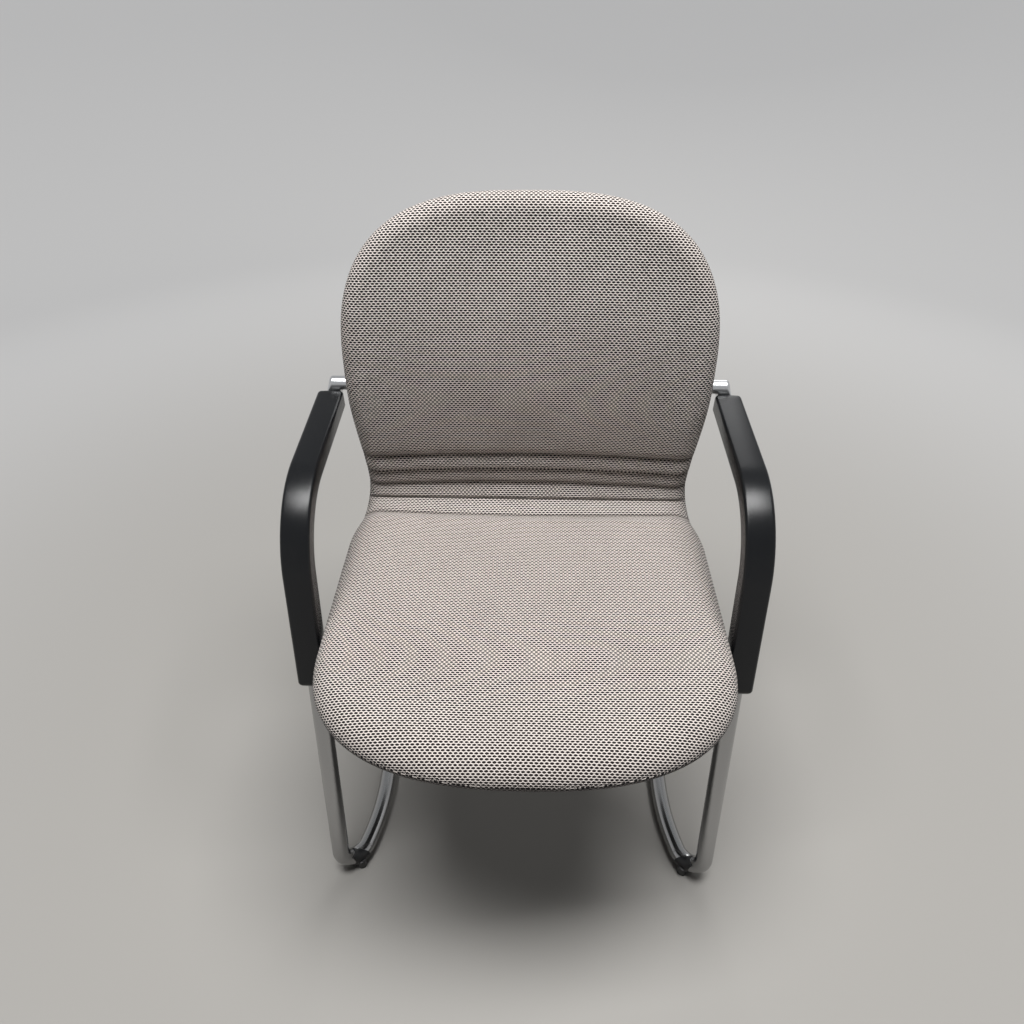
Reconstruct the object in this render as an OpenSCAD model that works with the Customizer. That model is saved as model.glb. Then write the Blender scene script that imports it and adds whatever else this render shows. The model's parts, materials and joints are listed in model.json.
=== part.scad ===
/* [Seat] */
// Height of the seat's surface above the floor
seat_h = 455; // [430:1:480]
// Depth of the seat, from its front edge to where it turns up
seat_d = 423; // [390:1:450]
// Width of the seat
seat_w = 509; // [460:1:540]
// Length of the rounded front of the seat
seat_nose = 166; // [130:1:180]
// Thickness of the seat's upholstery
seat_t = 42; // [36:1:48]
// How far the seat's edges rise above its middle
seat_dish = 7; // [3:0.5:10]
// How far the seat's front falls below its middle
seat_fall = 6.5; // [0:0.5:14]

/* [Back] */
// Height of the back's top edge above the seat
back_up = 445; // [410:1:480]
// Width of the back
back_w = 491; // [455:1:500]
// Length of the rounded top of the back
back_crown = 224; // [190:1:236]
// Width of the waist between seat and back
waist_w = 469; // [430:1:485]
// Thickness of the back's upholstery
back_t = 31; // [27:1:36]
// How far the back's edges come forward of its middle
back_dish = 11; // [6:0.5:14]
// Height of the fullest point of the back, and of its pivots, above the seat
lumbar_up = 182; // [165:1:200]
// Angle of the upper back from upright, in degrees
recline = 13; // [8:0.5:16]
// Angle by which the lower back leans over the fold, in degrees
overhang = 12; // [8:0.5:14]

/* [Fold] */
// Inner radius of the turn from seat to back
fold_r = 38; // [34:1:44]
// Number of ribs across the fold
rib_count = 4; // [3:1:5]
// Width of one rib
rib_pitch = 26; // [22:0.5:28]
// Depth of the sewn channels between the ribs
rib_depth = 5; // [2:0.5:6]

/* [Frame] */
// Outside diameter of the frame tube
tube_d = 25; // [22:0.5:26]
// Wall of the frame tube
tube_wall = 2; // [1.5:0.1:3]
// Distance from the front feet back to where the seat turns up
fold_y = 295; // [280:1:310]
// Height of the arm tube's centre above the seat, at its rear end
arm_up = 153; // [143:1:159]
// Fall of the arm tube towards the front, in degrees
arm_fall = 3.5; // [1:0.5:5]
// Lean of the front leg, in degrees
leg_lean = 12.5; // [10:0.5:14]
// Spread of the front legs towards the arms, in degrees
leg_spread = 0.5; // [0:0.1:1.5]
// Radius of the bend from arm to leg
arm_bend_r = 100; // [85:1:115]
// Radius of the bend at the floor
floor_bend_r = 28; // [26:0.5:32]
// Distance of each runner's centre inside the leg
runner_inset = 46; // [42:0.5:50]
// Distance from the front feet to the rear cross tube
base_d = 450; // [420:1:500]
// Radius of the rear corners
rear_bend_r = 90; // [70:1:110]

/* [Arm pads] */
// Width of an arm pad
pad_w = 36; // [32:0.5:38]
// Depth of pad in front of the tube's centre
pad_cover = 25; // [20:0.5:28]
// How far below the seat's surface the pads end on the legs
pad_drop = 91; // [75:1:105]

/* [Feet] */
// Height at which the feet hold the runners off the floor
foot_lift = 4; // [3:0.5:6]
// Diameter of a foot
foot_d = 15; // [12:0.5:20]

/* [Pivots] */
// Diameter of the pivot pins
pin_d = 12; // [10:0.5:13]
// Radial play of a pin in its bush
pin_play = 0.05; // [0.02:0.01:0.08]

/* [Hidden] */

// Smoothness of round surfaces
$fn = 48;
// Sides of the frame tube and of its bore
tube_sides = 24;
bore_sides = 12;
// Largest turn of a tube between two of its rings, in degrees
bend_step = 11;
// Gap left between pieces that touch
gap = 0.3;
// Gap between a tube and what is slid over or into it
slip = 0.1;
// Overrun of a cutter past the surface that it cuts
over = 1;

// Heights above the floor
back_top = seat_h + back_up;
lumbar_h = seat_h + lumbar_up;
arm_h = seat_h + arm_up;

// Frame
tube_r = tube_d / 2;
bore_r = tube_r - tube_wall;
spigot_r = bore_r * cos(180 / bore_sides) - slip;
arm_gap = 4.25;
arm_x = seat_w / 2 + arm_gap + pad_w / 2;
runner_z = tube_r + foot_lift;
// Height and place at which the leg's line is fixed
leg_mark_z = 155;
leg_mark_y = 24;
// Headings of the tube in plan behind the floor bend, in degrees from straight back
first_heading = 46;
second_heading = 16;
inner_bend_r = 28;
// Straight left between two bends that follow each other
bend_rest = 0.5;
// Place along the runner where side tube and base tube meet
joint_y = 190;
sleeve_l = 70;
sleeve_wall = 2;

// Arm elbows and pivots
elbow_reach = 13;
collar_l = 6;
pad_past_end = collar_l / 2 - gap;
spigot_l = 34;
lug_r = 10;
lug_edge = 5;
// How far the lug reaches past the arm tube's centre, and how much of it its stem carries
lug_out = 3;
stem_w = 16;
shell_t = 4;
pin_r = pin_d / 2;
pin_l = 30;
pin_stand = 16;
boss_r = 14;
boss_l = 36;
shell_inset = 18;
bush_wall = 2.4;
bush_flange_r = 11;
bush_flange_t = 1.5;
bush_l = 32;

// Seat carrier
beam_drop = 103;
beam_wall = 2;
bracket_x = 130;
bracket_w = 30;
bracket_t = 3;
bracket_front = 90;
bracket_back = 165;
bracket_lip = 12;
bracket_foot = 34;
spacer_min = 6;
spacer_r = 11;
seat_screw_r = 3;
seat_screw_head_r = 5.5;
seat_screw_head_h = 4;
seat_screw_in = 27;
screw_play = 0.15;
hole_start = 11;

// Arm pads
pad_hug = 0;
pad_face_r = 4.5;
pad_back_r = 3;
pad_end_round = 3.4;
pad_screw_r = 2.5;
pad_screw_bite = 10;
pad_screw_head_r = 4.5;
pad_screw_head_h = 2.5;
// Distances of the pad's screws from its rear end, along the arm, and above its lower end, on the leg
pad_screw_rear = 40;
pad_screw_front = 132;
pad_screw_leg = 60;
grub_r = 2.5;
grub_l = 7;
grub_back = 14;

// Feet
band_t = 1.8;
band_l = 17;
foot_t = 3;
rear_foot_back = 14;
// Middle of the front foot, inward of the leg's foot and behind it
foot_in = 26;
foot_behind = 11;

// Upholstery
seat_corner_power = 2.48;
back_corner_power = 2.84;
seat_taper = 122;
back_taper = 160;
// Share of the upholstery's thickness that lies in front of its outer edge
rim_share = 0.57;
seat_round = 36;
back_round = 26;
under_round = 17;
seat_swell = 3;
// Share of the seat's dish at its front edge
front_dish_share = 0.3;
hem = 0.8;
rib_lead = 10;
rib_fade = 14;
web_t = 3;
web_wave = 2;

// Half widths of the rounded ends at which the upholstery is drawn, as shares of the full half width
nose_shares = [0.08, 0.2, 0.34, 0.48, 0.6, 0.71, 0.81, 0.9, 0.96, 1];
shell_nose_shares = [0.1, 0.35, 0.6, 0.8, 0.93, 1];
rib_shares = [0, 0.12, 0.32, 0.5, 0.68, 0.88];
// Where the outermost channels fade out, as shares of rib_fade
fade_shares = [0.25, 0.55, 1];
// The pads' rounded ends, as shares of pad_end_round along the pad and inwards from its outline
pad_end_shares = [[0, 1], [0.3, 0.35], [1, 0]];
columns = 20;
shell_columns = 12;

function unit(v) = v / norm(v);
function mix(a, b, t) = a + (b - a) * t;
function smooth(t) = let (c = min(max(t, 0), 1)) c * c * (3 - 2 * c);
function plan_dir(a) = [-sin(a), cos(a), 0];
function turn(a, b) = acos(a * b);
function set_back(r, a, b) = r * tan(turn(a, b) / 2);

// The upholstered seat and back follow one line, seen from the side. It starts at the seat's front edge,
// runs back, turns up through the fold, leans forward to the fullest point and then back to the top.
fold_turn = 90 + overhang;
fold_end_z = seat_h + fold_r * (1 - cos(fold_turn));
lumbar_r = (lumbar_h - fold_end_z) / sin(overhang);
seat_s = seat_d;
fold_s = seat_s + fold_r * fold_turn * PI / 180;
lumbar_s = fold_s + lumbar_r * (overhang + recline) * PI / 180;
lumbar_end_z = fold_end_z + lumbar_r * (cos(90 - recline) - cos(fold_turn));
top_s = lumbar_s + (back_top - lumbar_end_z) / cos(recline);
seat_front_y = fold_y - seat_d;
fold_end_y = fold_y + fold_r * sin(fold_turn);
lumbar_end_y = fold_end_y + lumbar_r * (sin(fold_turn) - sin(90 - recline));
lumbar_y = fold_end_y - lumbar_r * (1 - cos(overhang));
rib_s = seat_s + rib_lead;
rib_end_s = rib_s + rib_count * rib_pitch;
crown_s = top_s - back_crown;

// Heading of the line at a distance s along it, in degrees above straight back
function heading(s) =
  s < seat_s ? 0 :
  s < fold_s ? (s - seat_s) / fold_r * 180 / PI :
  s < lumbar_s ? fold_turn - (s - fold_s) / lumbar_r * 180 / PI :
  90 - recline;

// Point of the line at a distance s along it, as [y, z]
function line_at(s) =
  let (h = heading(s))
  s < seat_s ? [seat_front_y + s, seat_h] :
  s < fold_s ? [fold_y + fold_r * sin(h), seat_h + fold_r * (1 - cos(h))] :
  s < lumbar_s ? [
    fold_end_y + lumbar_r * (sin(fold_turn) - sin(h)),
    fold_end_z + lumbar_r * (cos(h) - cos(fold_turn))
  ] :
  [lumbar_end_y, lumbar_end_z] + (s - lumbar_s) * [sin(recline), cos(recline)];

// Point at x across, s along the line and h out of it towards the sitter
function over_line(x, s, h) =
  let (p = line_at(s), a = heading(s))
  [x, p[0] - h * sin(a), p[1] + h * cos(a)];

// Outline of the upholstery
function dip(t) = t >= 1 ? 0 : pow(cos(90 * t), 2);
function half_w(s) =
  s < fold_s ? mix(seat_w / 2, waist_w / 2, dip((fold_s - s) / seat_taper)) :
  mix(back_w / 2, waist_w / 2, dip((s - fold_s) / back_taper));
function corner_power(s) = s < fold_s ? seat_corner_power : back_corner_power;
function end_l(s) = s < fold_s ? seat_nose : back_crown;
// How far a place lies into a rounded end whose outline is drawn in by an inset, from 0 to 1
function into_end(s, inset) =
  max(0, s < fold_s ? (seat_nose - s) / (seat_nose - inset) : (s - crown_s) / (back_crown - inset));
function outline_w(s, inset = 0) =
  let (n = corner_power(s))
  (half_w(s) - inset) * pow(max(0, 1 - pow(into_end(s, inset), n)), 1 / n);
function edge_distance(x, s) =
  let (
    n = corner_power(s),
    w = half_w(s),
    u = abs(x) / w,
    e = into_end(s, 0),
    slope = n * norm([pow(u, n - 1) / w, pow(e, n - 1) / end_l(s)])
  )
  max(0, 1 - pow(u, n) - pow(e, n)) / max(slope, 1 / (w * n));
function round_off(d, r) = let (t = 1 - min(d / r, 1)) sqrt(1 - t * t);

// Thickness of the upholstery before and behind its outer edge
function back_share(s) = smooth((s - seat_s) / (fold_s - seat_s));
function thick(s) = mix(seat_t, back_t, back_share(s));
function dish(s) =
  mix(seat_dish * mix(front_dish_share, 1, smooth(s / seat_nose)), back_dish, back_share(s));
function rim_h(x, s) = dish(s) * pow(x / half_w(s), 2) - thick(s) * rim_share - front_fall(s);
function channel(s) =
  s < rib_s ? pow(max(0, 1 - (rib_s - s) / rib_fade), 2) :
  s > rib_end_s ? pow(max(0, 1 - (s - rib_end_s) / rib_fade), 2) :
  1 - sqrt(abs(sin(180 * (s - rib_s) / rib_pitch)));
function front_fall(s) = s > seat_nose ? 0 : seat_fall * pow(1 - s / seat_nose, 2);
function swell(s) = s > seat_s ? 0 : seat_swell * sin(180 * s / seat_s);
function top_h(x, s) =
  rim_h(x, s) + max(
    hem,
    (thick(s) * rim_share + swell(s) - rib_depth * channel(s))
      * round_off(edge_distance(x, s), mix(seat_round, back_round, back_share(s)))
  );
function under_h(x, s) =
  rim_h(x, s) - max(hem, thick(s) * (1 - rim_share) * round_off(edge_distance(x, s), under_round));

// Distances along the line at which a rounded end is drawn
function end_step(w, n) = 1 - pow(1 - pow(w, n), 1 / n);
function nose_stations(shares, inset = 0) =
  [for (w = shares) inset + (seat_nose - inset) * end_step(w, seat_corner_power)];
function crown_stations(shares, inset = 0) =
  [for (i = [len(shares) - 1:-1:0])
    top_s - inset - (back_crown - inset) * end_step(shares[i], back_corner_power)];
function between(a, b, count) = [for (i = [1:count]) a + (b - a) * i / (count + 1)];
// Distances along the line where the seat and the back pass into the ribs
seat_run = concat(
  between(seat_nose, rib_s - rib_fade, 4),
  [for (i = [len(fade_shares) - 1:-1:0]) rib_s - fade_shares[i] * rib_fade],
  [rib_s - gap / 2]
);
back_run = concat(
  [rib_end_s + gap / 2],
  [for (t = fade_shares) rib_end_s + t * rib_fade],
  between(rib_end_s + rib_fade, crown_s, 4)
);
function rib_stations(first, last) = concat(
  [first],
  [for (i = [0:rib_count - 1], t = rib_shares) if (i + t > 0) rib_s + (i + t) * rib_pitch],
  [last]
);

// Closed solid between two surfaces given as rows of points with the same counts
function strip(a, b, u) = [[a, u + a, u + b], [a, u + b, b]];
module filled(top, under) {
  rows = len(top);
  cols = len(top[0]);
  points = concat([for (r = top) each r], [for (r = under) each r]);
  u = rows * cols;
  faces = concat(
    [for (i = [0:rows - 2], j = [0:cols - 2]) let (k = i * cols + j) each [
      [k, k + cols, k + cols + 1], [k, k + cols + 1, k + 1],
      [u + k, u + k + cols + 1, u + k + cols], [u + k, u + k + 1, u + k + cols + 1]
    ]],
    [for (i = [0:rows - 2]) each strip(i * cols, (i + 1) * cols, u)],
    [for (i = [0:rows - 2]) each strip((i + 2) * cols - 1, (i + 1) * cols - 1, u)],
    [for (j = [0:cols - 2]) each strip(j + 1, j, u)],
    [for (j = [0:cols - 2]) each strip(u - cols + j, u - cols + j + 1, u)]
  );
  polyhedron(points, faces, convexity = 10);
}

function across(count) = [for (j = [0:count]) sin(90 * (2 * j / count - 1))];

module padding(stations) {
  rows = [for (s = stations) [for (c = across(columns)) [c * outline_w(s), s]]];
  filled(
    [for (r = rows) [for (q = r) over_line(q[0], q[1], top_h(q[0], q[1]))]],
    [for (r = rows) [for (q = r) over_line(q[0], q[1], under_h(q[0], q[1]))]]
  );
}

// Plate behind the padding, drawn in from its edge
module backing(stations, t, wave = 0) {
  rows = [for (s = stations) [for (c = across(shell_columns)) [c * outline_w(s, shell_inset), s]]];
  function sunk(s) = gap + wave * (1 - cos(360 * (s - rib_s) / rib_pitch)) / 2;
  filled(
    [for (r = rows) [for (q = r) over_line(q[0], q[1], under_h(q[0], q[1]) - sunk(q[1]))]],
    [for (r = rows) [for (q = r) over_line(q[0], q[1], under_h(q[0], q[1]) - sunk(q[1]) - t)]]
  );
}

// Pivot axis, behind the shell at the fullest point of the back
pivot_y = lumbar_y + back_t + shell_t + pin_stand;
pivot_z = lumbar_h;
boss_end_x = back_w / 2 - shell_inset;
boss_x = boss_end_x - boss_l / 2;
bush_r = pin_r + pin_play + bush_wall;
lug_x = boss_end_x + bush_flange_t + gap;

// Rear end of the arm tube, and the corners of the tube's centre line
arm_end = [arm_x, pivot_y - elbow_reach, arm_h];
arm_dir = [0, -cos(arm_fall), -sin(arm_fall)];
leg_dir = -unit([tan(leg_spread), tan(leg_lean), 1]);
arm_run = ((arm_end[1] - leg_mark_y) - (arm_end[2] - leg_mark_z) * tan(leg_lean))
  / (cos(arm_fall) - sin(arm_fall) * tan(leg_lean));
arm_corner = arm_end + arm_dir * arm_run;
function at_leg(z) = arm_corner + leg_dir * (arm_corner[2] - z) / -leg_dir[2];
floor_corner = at_leg(runner_z);
runner_x = floor_corner[0] - runner_inset;
dir_1 = plan_dir(first_heading);
dir_2 = plan_dir(second_heading);
dir_3 = plan_dir(0);
floor_back = set_back(floor_bend_r, leg_dir, dir_1);
inner_back = set_back(inner_bend_r, dir_1, dir_2);
inner_corner = floor_corner + dir_1 * (floor_back + inner_back + bend_rest);
runner_corner = inner_corner + dir_2 * (inner_corner[0] - runner_x) / sin(second_heading);
// The runner's curve fills what the bend before it leaves
runner_bend_r = (norm(runner_corner - inner_corner) - inner_back - bend_rest) / tan(turn(dir_2, dir_3) / 2);
joint_end = [runner_x, joint_y, runner_z];
rear_corner = [runner_x, base_d, runner_z];
side_path = [arm_end, arm_corner, floor_corner, inner_corner, runner_corner, joint_end];
side_radii = [0, arm_bend_r, floor_bend_r, inner_bend_r, runner_bend_r, 0];
base_path = [joint_end, rear_corner, [-runner_x, base_d, runner_z], [-runner_x, joint_y, runner_z]];
base_radii = [0, rear_bend_r, rear_bend_r, 0];
pad_low = at_leg(seat_h - pad_drop);
pad_path = [arm_end - arm_dir * pad_past_end, arm_corner, pad_low];
pad_radii = [0, arm_bend_r, 0];
beam_z = seat_h - beam_drop;
beam_end = at_leg(beam_z);
bracket_top = seat_h - seat_t - gap - shell_t - spacer_min;

// The part stands with the middle of its length over the origin
middle_y = (seat_front_y + base_d + tube_r) / 2;

module placed() {
  translate([0, -middle_y, 0]) children();
}

module left() {
  mirror([1, 0, 0]) children();
}

module both() {
  children();
  left() children();
}

// Lays the children's Z axis along a direction at a point, and their X axis square to it, near a side
module aimed(origin, dir, side = [1, 0, 0]) {
  z = unit(dir);
  y = unit(cross(z, side));
  x = cross(y, z);
  multmatrix([
    [x[0], y[0], z[0], origin[0]],
    [x[1], y[1], z[1], origin[1]],
    [x[2], y[2], z[2], origin[2]],
    [0, 0, 0, 1]
  ]) children();
}

// Rings along a line with round bends, each as its centre and two directions square to the line. The first
// direction is carried along without twisting.
function spin(v, k, a) = v * cos(a) + cross(k, v) * sin(a) + k * (k * v) * (1 - cos(a));
function dirs(p) = [for (i = [0:len(p) - 2]) unit(p[i + 1] - p[i])];
function bend_axis(d, i) = unit(cross(d[i - 1], d[i]));
function carried(d, u, i = 1) =
  i >= len(d) ? [u] : concat([u], carried(d, spin(u, bend_axis(d, i), turn(d[i - 1], d[i])), i + 1));
function bend_rings(p, r, d, u, i) =
  let (
    k = bend_axis(d, i),
    a = turn(d[i - 1], d[i]),
    in = cross(k, d[i - 1]),
    centre = p[i] - d[i - 1] * set_back(r[i], d[i - 1], d[i]) + in * r[i],
    steps = ceil(a / bend_step)
  )
  [for (j = [0:steps]) let (b = a * j / steps, v = spin(u[i - 1], k, b))
    [centre - spin(in, k, b) * r[i], v, cross(spin(d[i - 1], k, b), v)]];
function rings(p, r, side) =
  let (d = dirs(p), u = carried(d, side), last = len(p) - 1)
  concat(
    [[p[0], u[0], cross(d[0], u[0])]],
    [for (i = [1:last - 1]) each bend_rings(p, r, d, u, i)],
    [[p[last], u[last - 1], cross(d[last - 1], u[last - 1])]]
  );
function on_circle(r, a) = r * [cos(a), sin(a)];
function round_points(r, sides) = [for (i = [0:sides - 1]) on_circle(r, 360 * i / sides)];
function laid(ring, outline) = [for (q = outline) ring[0] + ring[1] * q[0] + ring[2] * q[1]];

function wall_faces(first, rows, sides, flip) =
  [for (i = [0:rows - 2], j = [0:sides - 1])
    let (
      a = first + i * sides + j,
      b = first + i * sides + (j + 1) % sides,
      c = b + sides,
      d = a + sides
    )
    each flip ? [[a, d, c], [a, c, b]] : [[a, b, c], [a, c, d]]];

// Solid along rings whose outlines have the same number of points
module skinned(sections) {
  sides = len(sections[0]);
  rows = len(sections);
  polyhedron(
    [for (s = sections) each s],
    concat(
      wall_faces(0, rows, sides, true),
      [[for (j = [0:sides - 1]) j]],
      [[for (j = [sides - 1:-1:0]) (rows - 1) * sides + j]]
    ),
    convexity = 10
  );
}

module rod(p, r, side, radius) {
  outline = round_points(radius, tube_sides);
  skinned([for (g = rings(p, r, side)) laid(g, outline)]);
}

// Tube whose bore has half as many sides
module tube(p, r, side) {
  all = rings(p, r, side);
  rows = len(all);
  outer = round_points(tube_r, tube_sides);
  inner = round_points(bore_r, bore_sides);
  start = rows * tube_sides;
  function cap(o, i, flip) = [for (k = [0:bore_sides - 1])
    let (
      a = o + 2 * k,
      b = a + 1,
      c = o + (2 * k + 2) % tube_sides,
      m = i + k,
      n = i + (k + 1) % bore_sides
    )
    each flip ? [[a, m, b], [b, m, n], [b, n, c]] : [[a, b, m], [b, n, m], [b, c, n]]];
  polyhedron(
    concat([for (g = all) each laid(g, outer)], [for (g = all) each laid(g, inner)]),
    concat(
      wall_faces(0, rows, tube_sides, true),
      wall_faces(start, rows, bore_sides, false),
      cap(0, start, false),
      cap((rows - 1) * tube_sides, start + (rows - 1) * bore_sides, true)
    ),
    convexity = 10
  );
}

// Hole for a screw, its outline started away from the tube's edges
module drilled(r, h) {
  rotate(hole_start) cylinder(r = r + screw_play, h = h);
}

// Places of the arm pad's screws on the tube's centre line, each with the direction towards the pad's face
arm_face = [0, -sin(arm_fall), cos(arm_fall)];
leg_face = carried(dirs(side_path), arm_face)[1];
pad_screws = [
  [arm_end + arm_dir * pad_screw_rear, arm_face],
  [arm_end + arm_dir * pad_screw_front, arm_face],
  [pad_low - leg_dir * pad_screw_leg, leg_face]
];
grub = [arm_end + arm_dir * grub_back, arm_face];

module side_tube() {
  color("silver") placed() difference() {
    tube(side_path, side_radii, arm_face);
    for (m = pad_screws)
      aimed(m[0], m[1]) translate([0, 0, -tube_r - over]) drilled(pad_screw_r, 2 * (tube_r + over));
    aimed(grub[0], grub[1]) translate([0, 0, -tube_r - over]) drilled(grub_r, tube_r);
  }
}

module base_tube() {
  color("silver") placed() tube(base_path, base_radii, [0, 0, 1]);
}

module joint_sleeve() {
  color("dimgray") placed() translate(joint_end) rotate([90, 0, 0]) difference() {
    cylinder(r = spigot_r, h = sleeve_l, center = true);
    cylinder(r = spigot_r - sleeve_wall, h = sleeve_l + 2 * over, center = true);
  }
}

// Cross tube welded between the legs, cut round at its ends to meet them
module seat_beam() {
  color("silver") placed() difference() {
    translate(beam_end) rotate([0, -90, 0]) difference() {
      cylinder(r = tube_r, h = 2 * beam_end[0]);
      translate([0, 0, -over]) cylinder(r = tube_r - beam_wall, h = 2 * (beam_end[0] + over));
    }
    both() aimed(beam_end, leg_dir)
      cylinder(r = tube_r + slip, h = 4 * tube_r, center = true);
  }
}

// Places of the seat's screws, as x and distance s along the seat
seat_screw_s = [
  beam_end[1] - bracket_front + seat_screw_in - seat_front_y,
  beam_end[1] + bracket_back - seat_screw_in - seat_front_y
];

module at_seat_screws() {
  for (s = seat_screw_s) both() translate([bracket_x, seat_front_y + s, 0]) children();
}

module seat_bracket() {
  y = beam_end[1];
  side = [
    [y - bracket_front, bracket_top], [y + bracket_back, bracket_top],
    [y + bracket_back, bracket_top - bracket_lip], [y + bracket_foot, beam_z], [y - bracket_foot, beam_z],
    [y - bracket_front, bracket_top - bracket_lip]
  ];
  color("dimgray") placed() difference() {
    translate([bracket_x - bracket_w / 2, 0, 0]) union() {
      for (x = [0, bracket_w - bracket_t])
        translate([x, 0, 0]) rotate([90, 0, 90]) linear_extrude(bracket_t) polygon(side);
      translate([0, y - bracket_front, bracket_top - bracket_t])
        cube([bracket_w, bracket_front + bracket_back, bracket_t]);
    }
    translate([0, y, beam_z]) rotate([0, 90, 0])
      cylinder(r = tube_r + slip, h = bracket_x + bracket_w);
    for (s = seat_screw_s)
      translate([bracket_x, seat_front_y + s, bracket_top - bracket_t - over])
        cylinder(r = seat_screw_r + screw_play, h = bracket_t + 2 * over);
  }
}

// Height of the shell's underside over a seat screw
function shell_under(x, s) = seat_h + under_h(x, s) - gap - shell_t;

module seat_spacers() {
  function free(s) = shell_under(bracket_x - spacer_r, s - spacer_r) - bracket_top;
  color("dimgray") placed() for (s = seat_screw_s) both()
    translate([bracket_x, seat_front_y + s, bracket_top]) difference() {
      cylinder(r = spacer_r, h = free(s) - gap);
      translate([0, 0, -over]) cylinder(r = seat_screw_r + screw_play, h = seat_t);
    }
}

module seat_screws() {
  color("dimgray") placed() for (s = seat_screw_s) both()
    translate([bracket_x, seat_front_y + s, bracket_top - bracket_t]) union() {
      translate([0, 0, -seat_screw_head_h]) cylinder(r = seat_screw_head_r, h = seat_screw_head_h);
      cylinder(r = seat_screw_r, h = shell_under(bracket_x, s) + shell_t - gap - bracket_top + bracket_t);
    }
}

module seat_shell() {
  color("dimgray") placed() difference() {
    backing(concat(nose_stations(shell_nose_shares, shell_inset), seat_run), shell_t);
    at_seat_screws() translate([0, 0, bracket_top]) cylinder(r = seat_screw_r + screw_play, h = seat_t);
  }
}

module seat_cushion() {
  color("tan") placed() padding(concat(nose_stations(nose_shares), seat_run));
}

module fold_cushion() {
  color("tan") placed() padding(rib_stations(rib_s + gap / 2, rib_end_s - gap / 2));
}

module fold_web() {
  color("dimgray") placed() backing(rib_stations(rib_s + gap / 2, rib_end_s - gap / 2), web_t, web_wave);
}

module back_cushion() {
  color("tan") placed() padding(concat(back_run, crown_stations(nose_shares)));
}

// Moulded shell with a boss at each side for the pivots
module back_shell() {
  lean = atan(2 * back_dish * boss_x / pow(back_w / 2, 2));
  front = lumbar_y + back_t + gap + shell_t / 2 - back_dish * pow(2 * boss_x / back_w, 2);
  color("dimgray") placed() difference() {
    union() {
      backing(concat(back_run, crown_stations(shell_nose_shares, shell_inset)), shell_t);
      both() difference() {
        translate([boss_x, 0, pivot_z]) union() {
          translate([-boss_l / 2, pivot_y, 0]) rotate([0, 90, 0]) cylinder(r = boss_r, h = boss_l);
          translate([-boss_l / 2, front - boss_r, -boss_r])
            cube([boss_l, pivot_y - front + boss_r, 2 * boss_r]);
        }
        translate([boss_x, front, pivot_z]) rotate([0, 0, -lean])
          translate([-boss_l, -2 * boss_r, -boss_r - over])
            cube([2 * boss_l, 2 * boss_r, 2 * (boss_r + over)]);
      }
    }
    both() translate([boss_x - boss_l / 2 - over, pivot_y, pivot_z]) rotate([0, 90, 0])
      cylinder(r = bush_r + slip, h = boss_l + 2 * over);
  }
}

module pivot_bush() {
  color("black") placed() translate([boss_end_x, pivot_y, pivot_z]) rotate([0, 90, 0]) difference() {
    union() {
      translate([0, 0, -bush_l]) cylinder(r = bush_r, h = bush_l);
      cylinder(r = bush_flange_r, h = bush_flange_t);
    }
    translate([0, 0, -bush_l - over]) cylinder(r = pin_r + pin_play, h = bush_l + bush_flange_t + 2 * over);
  }
}

// Cast elbow from the end of the arm tube to the pivot pin
module arm_elbow() {
  color("gainsboro") placed() difference() {
    union() {
      aimed(arm_end, -arm_dir) {
        translate([0, 0, -spigot_l]) cylinder(r = spigot_r, h = spigot_l + collar_l / 2);
        translate([0, 0, slip]) cylinder(r = tube_r - slip, h = collar_l / 2);
      }
      hull() {
        aimed(arm_end, -arm_dir, $fn = 32) translate([0, 0, collar_l / 2])
          cylinder(r = tube_r - 2 * slip, h = collar_l / 2);
        translate([arm_x + lug_out - stem_w, pivot_y, pivot_z]) rotate([0, 90, 0], $fn = 32)
          for (a = [0:30:90])
            cylinder(r = lug_r - lug_edge * (1 - cos(a)), h = stem_w - lug_edge * (1 - sin(a)));
      }
      translate([lug_x, pivot_y, pivot_z]) rotate([0, 90, 0]) cylinder(r = lug_r, h = arm_x - lug_x);
      translate([lug_x - pin_l, pivot_y, pivot_z]) rotate([0, 90, 0]) cylinder(r = pin_r, h = pin_l + over);
    }
    aimed(grub[0], grub[1]) translate([0, 0, -tube_r - over])
      cylinder(r = grub_r + screw_play, h = grub_l + over + slip);
  }
}

module elbow_screws() {
  color("dimgray") placed() both()
    aimed(grub[0], grub[1]) translate([0, 0, -tube_r]) cylinder(r = grub_r, h = grub_l);
}

// Outline of the arm pad: x towards its face, y across. Its edges can be drawn in for the rounded ends.
function pad_outline(draw) =
  let (
    w = pad_w / 2 - draw,
    f = pad_cover - draw,
    mouth = acos(-pad_hug / tube_r),
    g = (tube_r + slip) / cos(mouth / 10),
    b = min(pad_back_r, w - g)
  )
  concat(
    [for (a = [0:18:90]) [f - pad_face_r, w - pad_face_r] + pad_face_r * [cos(a), sin(a)]],
    [for (a = [90, 135, 180]) [-pad_hug + b, w - b] + b * [cos(a), sin(a)]],
    [for (i = [0:10]) let (a = mouth - 2 * mouth * i / 10) g * [cos(a), sin(a)]],
    [for (a = [180, 225, 270]) [-pad_hug + b, -w + b] + b * [cos(a), sin(a)]],
    [for (a = [270:18:360]) [f - pad_face_r, -w + pad_face_r] + pad_face_r * [cos(a), sin(a)]]
  );

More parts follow.
